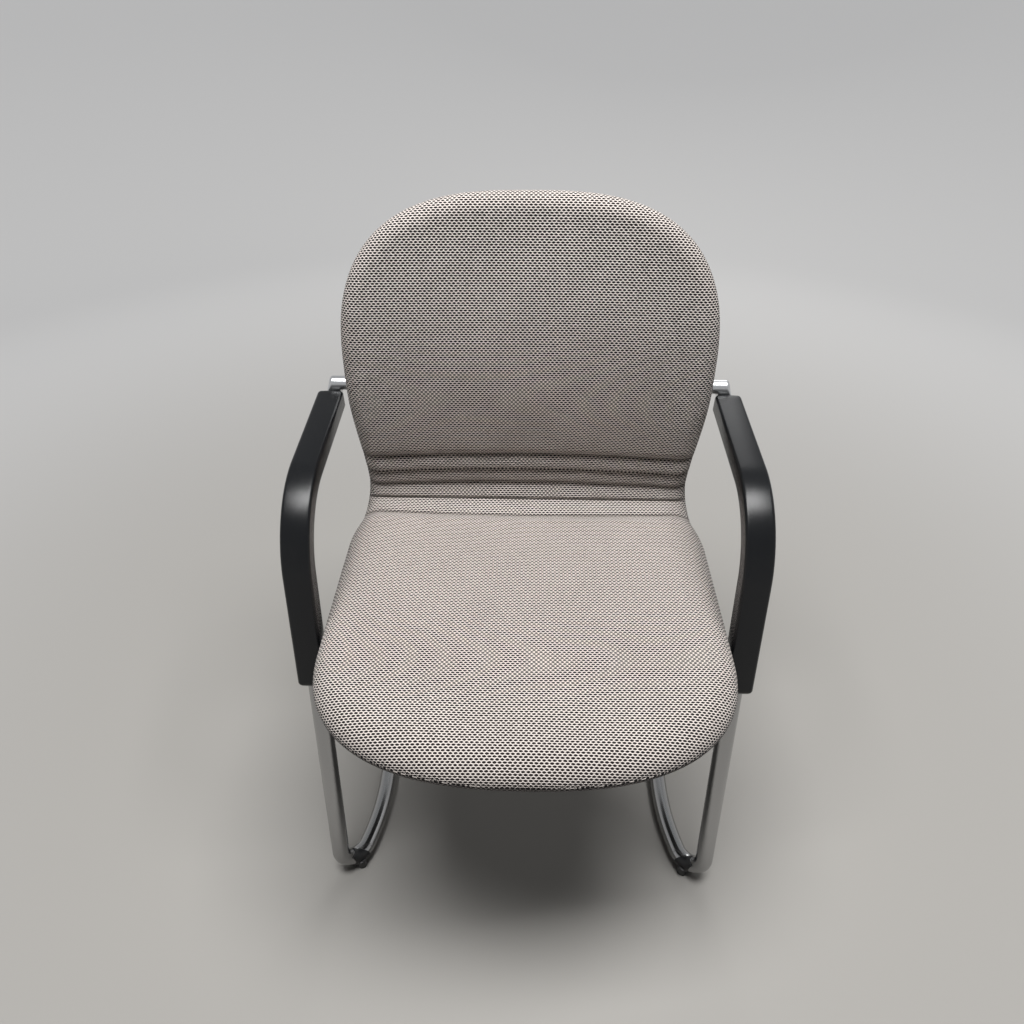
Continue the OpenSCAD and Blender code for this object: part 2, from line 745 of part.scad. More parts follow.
module arm_pad() {
  g = rings(pad_path, pad_radii, arm_face);
  last = len(g) - 1;
  function rounded(ring, dir, e) =
    laid([ring[0] + dir * e[0] * pad_end_round, ring[1], ring[2]], pad_outline(e[1] * pad_end_round));
  color("black") placed() difference() {
    skinned(concat(
      [for (e = pad_end_shares) rounded(g[0], arm_dir, e)],
      [for (i = [1:last - 1]) laid(g[i], pad_outline(0))],
      [for (i = [len(pad_end_shares) - 1:-1:0]) rounded(g[last], -leg_dir, pad_end_shares[i])]
    ));
    for (m = pad_screws) aimed(m[0], m[1])
      cylinder(r = pad_screw_r + screw_play, h = tube_r + pad_screw_bite + over);
  }
}

module arm_pad_screws() {
  color("dimgray") placed() both() for (m = pad_screws)
    aimed(m[0], m[1]) translate([0, 0, -tube_r - slip]) union() {
      cylinder(r = pad_screw_r, h = 2 * tube_r + pad_screw_bite);
      translate([0, 0, -pad_screw_head_h]) cylinder(r = pad_screw_head_r, h = pad_screw_head_h);
    }
}

// The tube's bends at the floor, as a rod of another radius
module floor_rod(radius) {
  rod(
    [floor_corner - leg_dir * 3 * floor_bend_r, floor_corner, inner_corner, runner_corner],
    [0, floor_bend_r, inner_bend_r, 0], leg_face, radius
  );
}

// Band round the tube at the end of the floor bend, with a foot under it
module front_glide() {
  foot = floor_corner + [-foot_in, foot_behind, -runner_z];
  color("black") placed() difference() {
    union() {
      intersection() {
        floor_rod(tube_r + band_t);
        translate(foot - [tube_d, band_l / 2, 0]) cube([tube_d + foot_in / 2, band_l, 2 * runner_z]);
      }
      translate(foot) cylinder(d = foot_d, h = runner_z);
    }
    floor_rod(tube_r + slip);
  }
}

module rear_glide() {
  at = [runner_x, base_d - rear_bend_r - rear_foot_back, runner_z];
  color("black") placed() difference() {
    translate(at) union() {
      rotate([90, 0, 0]) cylinder(r = tube_r + foot_t, h = band_l, center = true);
      translate([0, 0, -runner_z]) cylinder(d = foot_d, h = runner_z);
    }
    translate(at) rotate([90, 0, 0]) cylinder(r = tube_r + slip, h = foot_d + band_l, center = true);
  }
}

left() side_tube();  // side_tube_left
side_tube();  // side_tube_right
base_tube();
left() joint_sleeve();  // joint_sleeve_left
joint_sleeve();  // joint_sleeve_right
seat_beam();
left() seat_bracket();  // seat_bracket_left
seat_bracket();  // seat_bracket_right
seat_spacers();
seat_screws();
seat_shell();
seat_cushion();
left() arm_pad();  // arm_pad_left
arm_pad();  // arm_pad_right
arm_pad_screws();
left() arm_elbow();  // arm_elbow_left
arm_elbow();  // arm_elbow_right
elbow_screws();
left() front_glide();  // front_glide_left
front_glide();  // front_glide_right
left() rear_glide();  // rear_glide_left
rear_glide();  // rear_glide_right
fold_web();
fold_cushion();
back_shell();
back_cushion();
left() pivot_bush();  // pivot_bush_left
pivot_bush();  // pivot_bush_right
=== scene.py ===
import json
import math

import bmesh
import bpy
import numpy as np
from mathutils import Matrix, Vector


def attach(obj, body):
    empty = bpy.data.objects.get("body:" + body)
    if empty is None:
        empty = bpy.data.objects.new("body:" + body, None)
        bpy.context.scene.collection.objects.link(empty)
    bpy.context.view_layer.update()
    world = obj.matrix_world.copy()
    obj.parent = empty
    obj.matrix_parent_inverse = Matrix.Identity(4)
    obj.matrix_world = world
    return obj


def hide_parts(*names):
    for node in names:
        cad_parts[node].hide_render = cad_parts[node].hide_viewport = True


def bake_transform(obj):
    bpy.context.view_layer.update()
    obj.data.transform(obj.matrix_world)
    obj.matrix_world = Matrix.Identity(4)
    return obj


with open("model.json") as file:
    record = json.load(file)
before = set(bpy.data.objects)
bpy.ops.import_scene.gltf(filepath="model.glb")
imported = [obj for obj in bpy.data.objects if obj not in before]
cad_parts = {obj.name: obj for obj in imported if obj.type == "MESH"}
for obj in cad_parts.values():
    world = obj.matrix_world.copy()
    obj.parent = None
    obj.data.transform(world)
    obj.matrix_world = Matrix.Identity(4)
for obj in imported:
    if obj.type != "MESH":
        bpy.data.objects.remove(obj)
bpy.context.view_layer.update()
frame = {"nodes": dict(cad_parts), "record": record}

MM = 0.001
TURN = 2 * math.pi

# Sizes of the chair in millimetres, with its angles, the same as in its solids
SEAT_H, SEAT_D, SEAT_W, SEAT_NOSE = 455, 423, 509, 166
SEAT_T, SEAT_DISH, SEAT_FALL, SEAT_SWELL = 42, 7, 6.5, 3
BACK_TOP, BACK_W, BACK_CROWN, WAIST_W = SEAT_H + 445, 491, 224, 469
BACK_T, BACK_DISH, LUMBAR_H = 31, 11, SEAT_H + 182
RECLINE, OVERHANG = math.radians(13), math.radians(12)
FOLD_R, RIB_COUNT, RIB_PITCH, RIB_DEPTH, RIB_LEAD, RIB_FADE = 38, 4, 26, 5, 10, 14
SEAT_CORNER_POWER, BACK_CORNER_POWER, SEAT_TAPER, BACK_TAPER = 2.48, 2.84, 122, 160
RIM_SHARE, SEAT_ROUND, BACK_ROUND, UNDER_ROUND, HEM, FRONT_DISH_SHARE = 0.57, 36, 26, 17, 0.8, 0.3
GAP, SHELL_T, SHELL_INSET, WEB_T, WEB_WAVE = 0.3, 4, 18, 3, 2
BORE_PLAY, BOSS_SINK = 0.1, 2.5

TUBE_R, FOOT_LIFT, FOLD_Y, ARM_H = 12.5, 4, 295, SEAT_H + 153
ARM_FALL, LEG_LEAN, LEG_SPREAD = math.radians(3.5), math.radians(12.5), math.radians(0.5)
ARM_BEND_R, FLOOR_BEND_R, INNER_BEND_R, REAR_BEND_R = 100, 28, 28, 90
RUNNER_INSET, BASE_D, JOINT_Y, BEND_REST = 46, 450, 190, 0.5
LEG_MARK_Y, LEG_MARK_Z = 24, 155
FIRST_HEADING, SECOND_HEADING = math.radians(46), math.radians(16)
BEAM_H = SEAT_H - 103

PAD_W, PAD_COVER, PAD_FACE_R, PAD_BACK_R, PAD_CROWN = 36, 25, 4.5, 3, 0.5
PAD_LOW_H, PAD_PAST_END = SEAT_H - 91, 2.7
PIN_STAND, ELBOW_REACH, BOSS_R, BOSS_L, BUSH_R = 16, 13, 14, 36, 8.45
ARM_GAP = 4.25
ARM_X = SEAT_W / 2 + ARM_GAP + PAD_W / 2
BRACKET_T, BRACKET_X, BRACKET_BEFORE, BRACKET_BEHIND, SPACER_IN, SPACER_H = 3, 130, 90, 165, 27, 6
PAD_SCREW_REACHES, PAD_SCREW_RISE = (40, 132), 60

# Refinements beyond the solids: a rounder front edge, sharper channels that deepen towards the back, the
# unevenness of padding that has been sat on, and rounder ends of the arm pads
NOSE_ROUND, CHANNEL_SHARES, CHANNEL_POWER = 50, (1.2, 1.4), 0.55
UNEVEN_DEPTH, UNEVEN_EDGE = 0.35, 40
PAD_END_ROUND, PAD_END_DRAW = 7, 0.7

SHELL_RIM_R, SHELL_RIM_T, BOSS_ROUND, TUBE_EDGE = 5, 0.8, 1.2, 0.5
WELD_R, WELD_RIPPLE, WELD_DEPTH_SHARE, BEAM_INTO_LEG, HAIR = 1.7, 1.7, 0.14, 3, 0.01

# Fineness of the meshes: steps in millimetres along the cover and the shells, columns across them, widths
# of their first rows as shares, and sides and steps of what is round
LONG_STEP, SHORT_STEP, SHELL_STEP, LENGTH_STEP = 5, 1.2, 6, 0.25
COVER_COLUMNS, SHELL_COLUMNS, WEB_COLUMNS = 96, 64, 48
COVER_FIRST, SHELL_FIRST = 0.03, 0.05
TUBE_SIDES, BEND_STEPS, SEAM_STEPS, BOSS_SIDES = 56, 28, 72, 64

SIDES = ((1, "right"), (-1, "left"))


# Line that the seat and the back follow, seen from the side
FOLD_TURN = math.pi / 2 + OVERHANG
FOLD_END_Z = SEAT_H + FOLD_R * (1 - math.cos(FOLD_TURN))
LUMBAR_R = (LUMBAR_H - FOLD_END_Z) / math.sin(OVERHANG)
SEAT_S = SEAT_D
FOLD_S = SEAT_S + FOLD_R * FOLD_TURN
LUMBAR_S = FOLD_S + LUMBAR_R * (OVERHANG + RECLINE)
LUMBAR_END_Z = FOLD_END_Z + LUMBAR_R * (math.sin(RECLINE) - math.cos(FOLD_TURN))
TOP_S = LUMBAR_S + (BACK_TOP - LUMBAR_END_Z) / math.cos(RECLINE)
SEAT_FRONT_Y = FOLD_Y - SEAT_D
FOLD_END_Y = FOLD_Y + FOLD_R * math.sin(FOLD_TURN)
LUMBAR_END_Y = FOLD_END_Y + LUMBAR_R * (math.sin(FOLD_TURN) - math.cos(RECLINE))
LUMBAR_Y = FOLD_END_Y - LUMBAR_R * (1 - math.cos(OVERHANG))
RIB_S = SEAT_S + RIB_LEAD
RIB_END_S = RIB_S + RIB_COUNT * RIB_PITCH
CROWN_S = TOP_S - BACK_CROWN
MIDDLE_Y = (SEAT_FRONT_Y + BASE_D + TUBE_R) / 2
PIVOT_Y, PIVOT_Z = LUMBAR_Y + BACK_T + SHELL_T + PIN_STAND, LUMBAR_H
BOSS_X = BACK_W / 2 - SHELL_INSET - BOSS_L / 2


def mix(a, b, t):
    return a + (b - a) * t


def smooth(t):
    c = np.clip(t, 0, 1)
    return c * c * (3 - 2 * c)


def line_parts(s):
    """Whether s is on the seat, before the fold's end and before the lumbar curve's end."""
    return [s < SEAT_S, s < FOLD_S, s < LUMBAR_S]


def heading(s):
    turning = (s - SEAT_S) / FOLD_R
    leaning = FOLD_TURN - (s - FOLD_S) / LUMBAR_R
    return np.select(line_parts(s), [0 * s, turning, leaning], math.pi / 2 - RECLINE)


def line_at(s):
    h = heading(s)
    past = s - LUMBAR_S
    y = np.select(line_parts(s), [
        SEAT_FRONT_Y + s,
        FOLD_Y + FOLD_R * np.sin(h),
        FOLD_END_Y + LUMBAR_R * (math.sin(FOLD_TURN) - np.sin(h)),
    ], LUMBAR_END_Y + past * math.sin(RECLINE))
    z = np.select(line_parts(s), [
        SEAT_H + 0 * s,
        SEAT_H + FOLD_R * (1 - np.cos(h)),
        FOLD_END_Z + LUMBAR_R * (np.cos(h) - math.cos(FOLD_TURN)),
    ], LUMBAR_END_Z + past * math.cos(RECLINE))
    return y, z


def over_line(x, s, h):
    """Points at x across, s along the line and h out of it towards the sitter."""
    y, z = line_at(s)
    a = heading(s)
    return np.stack([x, y - h * np.sin(a), z + h * np.cos(a)], axis=-1)


def dip(t):
    """1 at 0, falling smoothly to 0 at 1."""
    return np.where(t >= 1, 0, np.cos(math.pi / 2 * np.minimum(t, 1)) ** 2)


def on_seat(s):
    return s < FOLD_S


def half_w(s):
    return np.where(
        on_seat(s),
        mix(SEAT_W / 2, WAIST_W / 2, dip((FOLD_S - s) / SEAT_TAPER)),
        mix(BACK_W / 2, WAIST_W / 2, dip((s - FOLD_S) / BACK_TAPER)),
    )


def corner_power(s):
    return np.where(on_seat(s), SEAT_CORNER_POWER, BACK_CORNER_POWER)


def into_end(s, inset=0):
    """How far s lies into the front edge or the crown, from 0 at the full width to 1 at the very end."""
    seat = (SEAT_NOSE - s) / (SEAT_NOSE - inset)
    back = (s - CROWN_S) / (BACK_CROWN - inset)
    return np.clip(np.where(on_seat(s), seat, back), 0, 1)


def outline_w(s, inset=0):
    n = corner_power(s)
    return (half_w(s) - inset) * (1 - into_end(s, inset) ** n) ** (1 / n)


def edge_distance(x, s, inset=0):
    """Distance of x, s from the outline, near enough."""
    n = corner_power(s)
    w = half_w(s) - inset
    end_l = np.where(on_seat(s), SEAT_NOSE, BACK_CROWN) - inset
    u, e = np.abs(x) / w, into_end(s, inset)
    slope = n * np.hypot(u ** (n - 1) / w, e ** (n - 1) / end_l)
    return np.maximum(0, 1 - u ** n - e ** n) / np.maximum(slope, 1 / (w * n))


def round_off(d, r):
    """Share of the full height at the distance d from an edge that is rounded by r."""
    t = 1 - np.minimum(d / r, 1)
    return np.sqrt(1 - t * t)


def back_share(s):
    return smooth((s - SEAT_S) / (FOLD_S - SEAT_S))


def thick(s):
    return mix(SEAT_T, BACK_T, back_share(s))


def dish(s):
    return mix(SEAT_DISH * mix(FRONT_DISH_SHARE, 1, smooth(s / SEAT_NOSE)), BACK_DISH, back_share(s))


def rim_h(x, s):
    fall = np.where(s > SEAT_NOSE, 0, SEAT_FALL * (1 - s / SEAT_NOSE) ** 2)
    return dish(s) * (x / half_w(s)) ** 2 - thick(s) * RIM_SHARE - fall


def channel(s):
    before = np.maximum(0, 1 - (RIB_S - s) / RIB_FADE) ** 2
    after = np.maximum(0, 1 - (s - RIB_END_S) / RIB_FADE) ** 2
    # Each rib hangs over the channel before it, so that its longer side faces up
    within = np.sqrt((s - RIB_S) / RIB_PITCH % 1)
    between = 1 - np.abs(np.sin(math.pi * within)) ** CHANNEL_POWER
    return np.where(s < RIB_S, before, np.where(s > RIB_END_S, after, between))


def channel_depth(s):
    """Depth of the sewn channels, which draw the cover in further towards the back."""
    return RIB_DEPTH * mix(*CHANNEL_SHARES, np.clip((s - RIB_S) / (RIB_END_S - RIB_S), 0, 1))


def top_h(x, s):
    swell = np.where(s > SEAT_S, 0, SEAT_SWELL * np.sin(math.pi * s / SEAT_S))
    full = thick(s) * RIM_SHARE + swell - channel_depth(s) * channel(s)
    seat_round = mix(NOSE_ROUND, SEAT_ROUND, smooth(s / SEAT_NOSE))
    rounding = round_off(edge_distance(x, s), mix(seat_round, BACK_ROUND, back_share(s)))
    return rim_h(x, s) + np.maximum(HEM, full * rounding)


def under_h(x, s):
    full = thick(s) * (1 - RIM_SHARE) * round_off(edge_distance(x, s), UNDER_ROUND)
    return rim_h(x, s) - np.maximum(HEM, full)


def end_step(w, power):
    return 1 - (1 - w ** power) ** (1 / power)


def nose_stations(count, first, inset=0):
    """Stations from the front edge to the full width. The first row has the share first of that width."""
    w = np.sin(np.linspace(math.asin(first), math.pi / 2, count))
    return inset + (SEAT_NOSE - inset) * end_step(w, SEAT_CORNER_POWER)


def crown_stations(count, first, inset=0):
    w = np.sin(np.linspace(math.pi / 2, math.asin(first), count))
    return TOP_S - inset - (BACK_CROWN - inset) * end_step(w, BACK_CORNER_POWER)


def run(a, b, step):
    """Stations from a to b, without a itself."""
    return np.linspace(a, b, max(2, int(math.ceil((b - a) / step)) + 1))[1:]


def rib_run(per_rib):
    """Stations over the ribs, closest together at the channels between them."""
    t = (1 - np.cos(math.pi * np.arange(1, per_rib + 1) / per_rib)) / 2
    return np.concatenate([RIB_S + (i + t) * RIB_PITCH for i in range(RIB_COUNT)])


# Meshes
def placed(points):
    """Points in millimetres from the front feet, as points of the part in metres."""
    return (np.asarray(points, float).reshape(-1, 3) - [0, MIDDLE_Y, 0]) * MM


def on_side(points, side):
    """Points of the right side as they are, or mirrored to the left where side is -1."""
    return np.asarray(points, float) * [side, 1, 1]


def link(name, mesh):
    piece = bpy.data.objects.new(name, mesh)
    bpy.context.scene.collection.objects.link(piece)
    return piece


def facing_outwards(mesh):
    bm = bmesh.new()
    bm.from_mesh(mesh)
    bmesh.ops.recalc_face_normals(bm, faces=bm.faces)
    bm.to_mesh(mesh)
    bm.free()


def shade_smooth(mesh):
    mesh.polygons.foreach_set("use_smooth", [True] * len(mesh.polygons))


def make_piece(name, points, faces, uv=None):
    mesh = bpy.data.meshes.new(name)
    mesh.from_pydata(placed(points).tolist(), [], [[int(k) for k in f] for f in faces])
    if uv is not None:
        layer = mesh.uv_layers.new(name="along_the_cover")
        corner = np.zeros(len(mesh.loops), np.int32)
        mesh.loops.foreach_get("vertex_index", corner)
        layer.data.foreach_set("uv", (np.asarray(uv)[corner] * MM).astype(np.float32).ravel())
    facing_outwards(mesh)
    shade_smooth(mesh)
    return link(name, mesh)


def quads(rows, cols, first=0):
    k = first + np.arange(rows - 1)[:, None] * cols + np.arange(cols - 1)[None, :]
    return np.stack([k, k + 1, k + cols + 1, k + cols], axis=-1).reshape(-1, 4)


def ring_faces(a, b, n):
    """Faces between the rings numbered a and b, of n points each."""
    return [[a * n + k, b * n + k, b * n + (k + 1) % n, a * n + (k + 1) % n] for k in range(n)]


def closed_sheet(top, under):
    """Points and faces of a closed form between two sheets with the same rows and columns."""
    rows, cols = top.shape[:2]
    total = rows * cols
    points = np.concatenate([top.reshape(-1, 3), under.reshape(-1, 3)])
    border = np.concatenate([
        np.arange(cols),
        cols * np.arange(1, rows) + cols - 1,
        total - 2 - np.arange(cols - 1),
        cols * np.arange(rows - 2, 0, -1),
    ])
    after = np.roll(border, -1)
    wall = np.stack([border, border + total, after + total, after], axis=-1)
    return points, np.concatenate([quads(rows, cols), quads(rows, cols, total)[:, ::-1], wall])


def across(count):
    return np.sin(math.pi / 2 * np.linspace(-1, 1, count + 1))


def evaluated_mesh(piece, name):
    view = bpy.context.evaluated_depsgraph_get()
    mesh = bpy.data.meshes.new_from_object(
        piece.evaluated_get(view), preserve_all_data_layers=True, depsgraph=view
    )
    mesh.name = name
    return mesh


def settled(piece):
    """The piece with its modifiers made part of its mesh."""
    mesh = evaluated_mesh(piece, piece.name)
    piece.modifiers.clear()
    old = piece.data
    piece.data = mesh
    bpy.data.meshes.remove(old)
    return piece


def joined(name, parts):
    """One piece made of several, which it takes the place of."""
    bm = bmesh.new()
    for part in parts:
        bm.from_mesh(part.data)
    mesh = bpy.data.meshes.new(name)
    bm.to_mesh(mesh)
    bm.free()
    for part in parts:
        bpy.data.objects.remove(part)
    return link(name, mesh)


def from_solid(node, name):
    """A welded copy of a solid's mesh."""
    bm = bmesh.new()
    bm.from_mesh(frame["nodes"][node].data)
    bmesh.ops.remove_doubles(bm, verts=bm.verts, dist=1e-6)
    bmesh.ops.recalc_face_normals(bm, faces=bm.faces)
    mesh = bpy.data.meshes.new(name)
    bm.to_mesh(mesh)
    bm.free()
    return link(name, mesh)


def softened(node, name, voxel, rounds):
    """A copy of a solid with the soft edges of a cast or moulded piece."""
    piece = from_solid(node, name)
    remesh = piece.modifiers.new("remesh", "REMESH")
    remesh.mode, remesh.voxel_size, remesh.use_smooth_shade = "VOXEL", voxel * MM, True
    ease = piece.modifiers.new("ease", "SMOOTH")
    ease.factor, ease.iterations = 0.5, rounds
    return settled(piece)


def edge_bevel(piece, width, segments=2, angle=50, even=True):
    """Breaks the edges of a piece that are sharper than the angle, and evens out its normals."""
    bevel = piece.modifiers.new("bevel", "BEVEL")
    bevel.limit_method, bevel.angle_limit = "ANGLE", math.radians(angle)
    bevel.width, bevel.segments = width * MM, segments
    if even:
        piece.modifiers.new("even", "WEIGHTED_NORMAL").keep_sharp = False
    return settled(piece)


def crisp(node, name, width):
    """A copy of a solid whose edges are broken by a narrow bevel."""
    piece = from_solid(node, name)
    bm = bmesh.new()
    bm.from_mesh(piece.data)
    bmesh.ops.dissolve_limit(
        bm, angle_limit=math.radians(0.5), use_dissolve_boundaries=False, verts=bm.verts, edges=bm.edges
    )
    bm.to_mesh(piece.data)
    bm.free()
    shade_smooth(piece.data)
    return edge_bevel(piece, width, angle=35)


# Node trees
def add_node(tree, kind, inputs=(), **settings):
    made = tree.nodes.new(kind)
    for key, value in settings.items():
        setattr(made, key, value)
    for key, value in dict(inputs).items():
        if isinstance(value, bpy.types.NodeSocket):
            tree.links.new(value, made.inputs[key])
        else:
            made.inputs[key].default_value = value
    return made


def calc(tree, operation, *values):
    return add_node(tree, "ShaderNodeMath", enumerate(values), operation=operation).outputs[0]


def noise(tree, vector, scale, detail, roughness=0.5):
    return add_node(
        tree, "ShaderNodeTexNoise",
        {"Vector": vector, "Scale": scale, "Detail": detail, "Roughness": roughness},
    ).outputs


def mixed_colour(tree, factor, low, high):
    """The colour low where the factor is 0, high where it is 1."""
    return add_node(tree, "ShaderNodeMix", {"Factor": factor, 6: low, 7: high}, data_type="RGBA").outputs[2]


def ramp(tree, value, low, high, top=1.0):
    """0 where the value is low or less, rising smoothly to top where it is high or more."""
    return add_node(
        tree, "ShaderNodeMapRange", {"Value": value, "From Min": low, "From Max": high, "To Max": top},
        interpolation_type="SMOOTHSTEP",
    ).outputs["Result"]


def new_tree(name, kind, inputs, outputs):
    """A node group with the inputs and outputs that two tables give, each as its name and kind of value."""
    tree = bpy.data.node_groups.new(name, kind)
    for direction, sockets in (("INPUT", inputs), ("OUTPUT", outputs)):
        for label, socket in sockets.items():
            tree.interface.new_socket(label, in_out=direction, socket_type=socket)
    source = tree.nodes.new("NodeGroupInput")
    return tree, source.outputs, tree.nodes.new("NodeGroupOutput").inputs


def grown(source, tree, name, slot, values):
    """The mesh that a geometry tree makes from a source object, as a piece. The source goes."""
    growth = source.modifiers.new("growth", "NODES")
    growth.node_group = tree
    values = {**values, "Finish": FINISHES[slot]}
    for item in tree.interface.items_tree:
        if item.in_out == "INPUT" and item.name in values:
            growth[item.identifier] = values[item.name]
    mesh = evaluated_mesh(source, name)
    bpy.data.objects.remove(source)
    return link(name, mesh)


FLOAT, COUNT, VECTOR, SHAPE, FINISH = (
    "NodeSocketFloat", "NodeSocketInt", "NodeSocketVector", "NodeSocketGeometry", "NodeSocketMaterial",
)


# Shader groups that several finishes share
def grain_group():
    """Fine unevenness of a moulded, cast or rolled surface."""
    tree, given, out = new_tree(
        "fine_grain", "ShaderNodeTree",
        {"Vector": VECTOR, "Scale": FLOAT, "Softness": FLOAT}, {"Height": FLOAT, "Tone": FLOAT},
    )
    cells = add_node(
        tree, "ShaderNodeTexVoronoi",
        {"Vector": given["Vector"], "Scale": given["Scale"], "Smoothness": 0.6}, feature="SMOOTH_F1",
    )
    cloud = noise(tree, given["Vector"], calc(tree, "MULTIPLY", given["Scale"], 0.6), 3.0)["Fac"]
    height = add_node(
        tree, "ShaderNodeMix", {"Factor": given["Softness"], "A": cells.outputs["Distance"], "B": cloud}
    )
    tree.links.new(height.outputs["Result"], out["Height"])
    tree.links.new(cloud, out["Tone"])
    return tree


def handling_group():
    """Wear of use: faint smudges over the surface and a little dust in patches."""
    tree, given, out = new_tree(
        "handling", "ShaderNodeTree",
        {"Vector": VECTOR, "Smudge": FLOAT, "Dust": FLOAT}, {"Gloss shift": FLOAT, "Dust mask": FLOAT},
    )
    broad = noise(tree, given["Vector"], 14.0, 4.0, 0.6)["Fac"]
    fine = noise(tree, given["Vector"], 160.0, 5.0, 0.65)["Fac"]
    smudge = calc(tree, "MULTIPLY", calc(tree, "SUBTRACT", broad, 0.5), given["Smudge"])
    patches = calc(tree, "MULTIPLY", broad, fine)
    tree.links.new(smudge, out["Gloss shift"])
    tree.links.new(ramp(tree, patches, 0.24, 0.46, given["Dust"]), out["Dust mask"])
    return tree


GRAIN = grain_group()
HANDLING = handling_group()


def new_finish(name, **sockets):
    finish = bpy.data.materials.new(name)
    finish.use_nodes = True
    tree = finish.node_tree
    shader = tree.nodes["Principled BSDF"]
    for label, value in sockets.items():
        shader.inputs[label.replace("_", " ")].default_value = value
    place = tree.nodes.new("ShaderNodeTexCoord").outputs["Object"]
    return finish, tree, shader, place


DUST_COLOUR = (0.45, 0.42, 0.38, 1)


def surface_finish(name, colour, roughness, metallic=0.0, grain=900, depth=0.1, softness=0.5, tone=0.1,
                   smudge=0.1, dust=0.05, **sockets):
    """A solid finish with grain in its relief, and smudges and dust of use."""
    finish, tree, shader, place = new_finish(name, Metallic=metallic, **sockets)
    rough = add_node(
        tree, "ShaderNodeGroup", {"Vector": place, "Scale": grain, "Softness": softness}, node_tree=GRAIN
    )
    used = add_node(
        tree, "ShaderNodeGroup", {"Vector": place, "Smudge": smudge, "Dust": dust}, node_tree=HANDLING
    )
    pale = [min(1, c * (1 + tone)) for c in colour] + [1]
    deep = [c * (1 - tone) for c in colour] + [1]
    toned = mixed_colour(tree, rough.outputs["Tone"], deep, pale)
    dusty = mixed_colour(tree, used.outputs["Dust mask"], toned, DUST_COLOUR)
    tree.links.new(dusty, shader.inputs["Base Color"])
    duller = calc(tree, "MULTIPLY", used.outputs["Dust mask"], 0.3)
    shift = calc(tree, "ADD", used.outputs["Gloss shift"], duller)
    tree.links.new(calc(tree, "ADD", roughness, shift), shader.inputs["Roughness"])
    relief = add_node(
        tree, "ShaderNodeBump", {"Strength": 1.0, "Distance": depth * MM, "Height": rough.outputs["Height"]}
    )
    tree.links.new(relief.outputs["Normal"], shader.inputs["Normal"])
    return finish


# The woven cover: dark flattened dots in staggered rows, between the pale yarns of a raised net
WEAVE_ACROSS, WEAVE_ALONG = 5.6, 6.1
DOT_HALF_W, DOT_HALF_L, DOT_POWER = 0.465, 0.235, 1.5


def woven_finish():
    finish, tree, shader, _ = new_finish(
        "woven_cover", Roughness=0.9, Specular_IOR_Level=0.15, Sheen_Weight=0.1, Sheen_Roughness=0.5
    )
    cover = add_node(tree, "ShaderNodeUVMap", uv_map="along_the_cover").outputs[0]
    wander = noise(tree, cover, 420.0, 2.0)
    sides = add_node(tree, "ShaderNodeSeparateXYZ", {0: cover})
    drift = add_node(tree, "ShaderNodeSeparateXYZ", {0: wander["Color"]})

    def counted(axis, pitch, play):
        loose = calc(tree, "MULTIPLY", calc(tree, "SUBTRACT", drift.outputs[axis], 0.5), play)
        return calc(tree, "ADD", calc(tree, "DIVIDE", sides.outputs[axis], pitch * MM), loose)

    x, y = counted(0, WEAVE_ACROSS, 0.16), counted(1, WEAVE_ALONG, 0.1)

    def dot(shift):
        """0 at the middle of the dots of one set of rows, 1 on their outline and more outside."""
        reach = []
        for value, half in ((x, DOT_HALF_W), (y, DOT_HALF_L)):
            part = calc(tree, "FRACT", calc(tree, "ADD", value, shift))
            away = calc(tree, "ABSOLUTE", calc(tree, "SUBTRACT", part, 0.5))
            reach.append(calc(tree, "POWER", calc(tree, "DIVIDE", away, half), DOT_POWER))
        return calc(tree, "ADD", *reach)

    out_of_dot = calc(tree, "MINIMUM", dot(0.0), dot(0.5))
    yarn = ramp(tree, out_of_dot, 0.78, 1.1)
    relief = ramp(tree, out_of_dot, 0.3, 1.7)
    fibre = noise(tree, cover, 2600.0, 3.0, 0.7)["Fac"]
    worn = noise(tree, cover, 9.0, 5.0)["Fac"]
    yarn_colour = mixed_colour(tree, fibre, (0.74, 0.66, 0.61, 1), (1.0, 0.93, 0.87, 1))
    dot_colour = mixed_colour(tree, wander["Fac"], (0.006, 0.0045, 0.005, 1), (0.026, 0.019, 0.018, 1))
    woven = mixed_colour(tree, yarn, dot_colour, yarn_colour)
    aged = add_node(tree, "ShaderNodeMapRange", {"Value": worn, "To Min": 0.9, "To Max": 1.08})
    shade = add_node(
        tree, "ShaderNodeVectorMath", {0: woven, "Scale": aged.outputs[0]}, operation="SCALE"
    )
    tree.links.new(shade.outputs[0], shader.inputs["Base Color"])
    height = calc(tree, "ADD", relief, calc(tree, "MULTIPLY", fibre, 0.35))
    bump = add_node(tree, "ShaderNodeBump", {"Strength": 0.8, "Distance": 0.7 * MM, "Height": height})
    tree.links.new(bump.outputs["Normal"], shader.inputs["Normal"])
    return finish


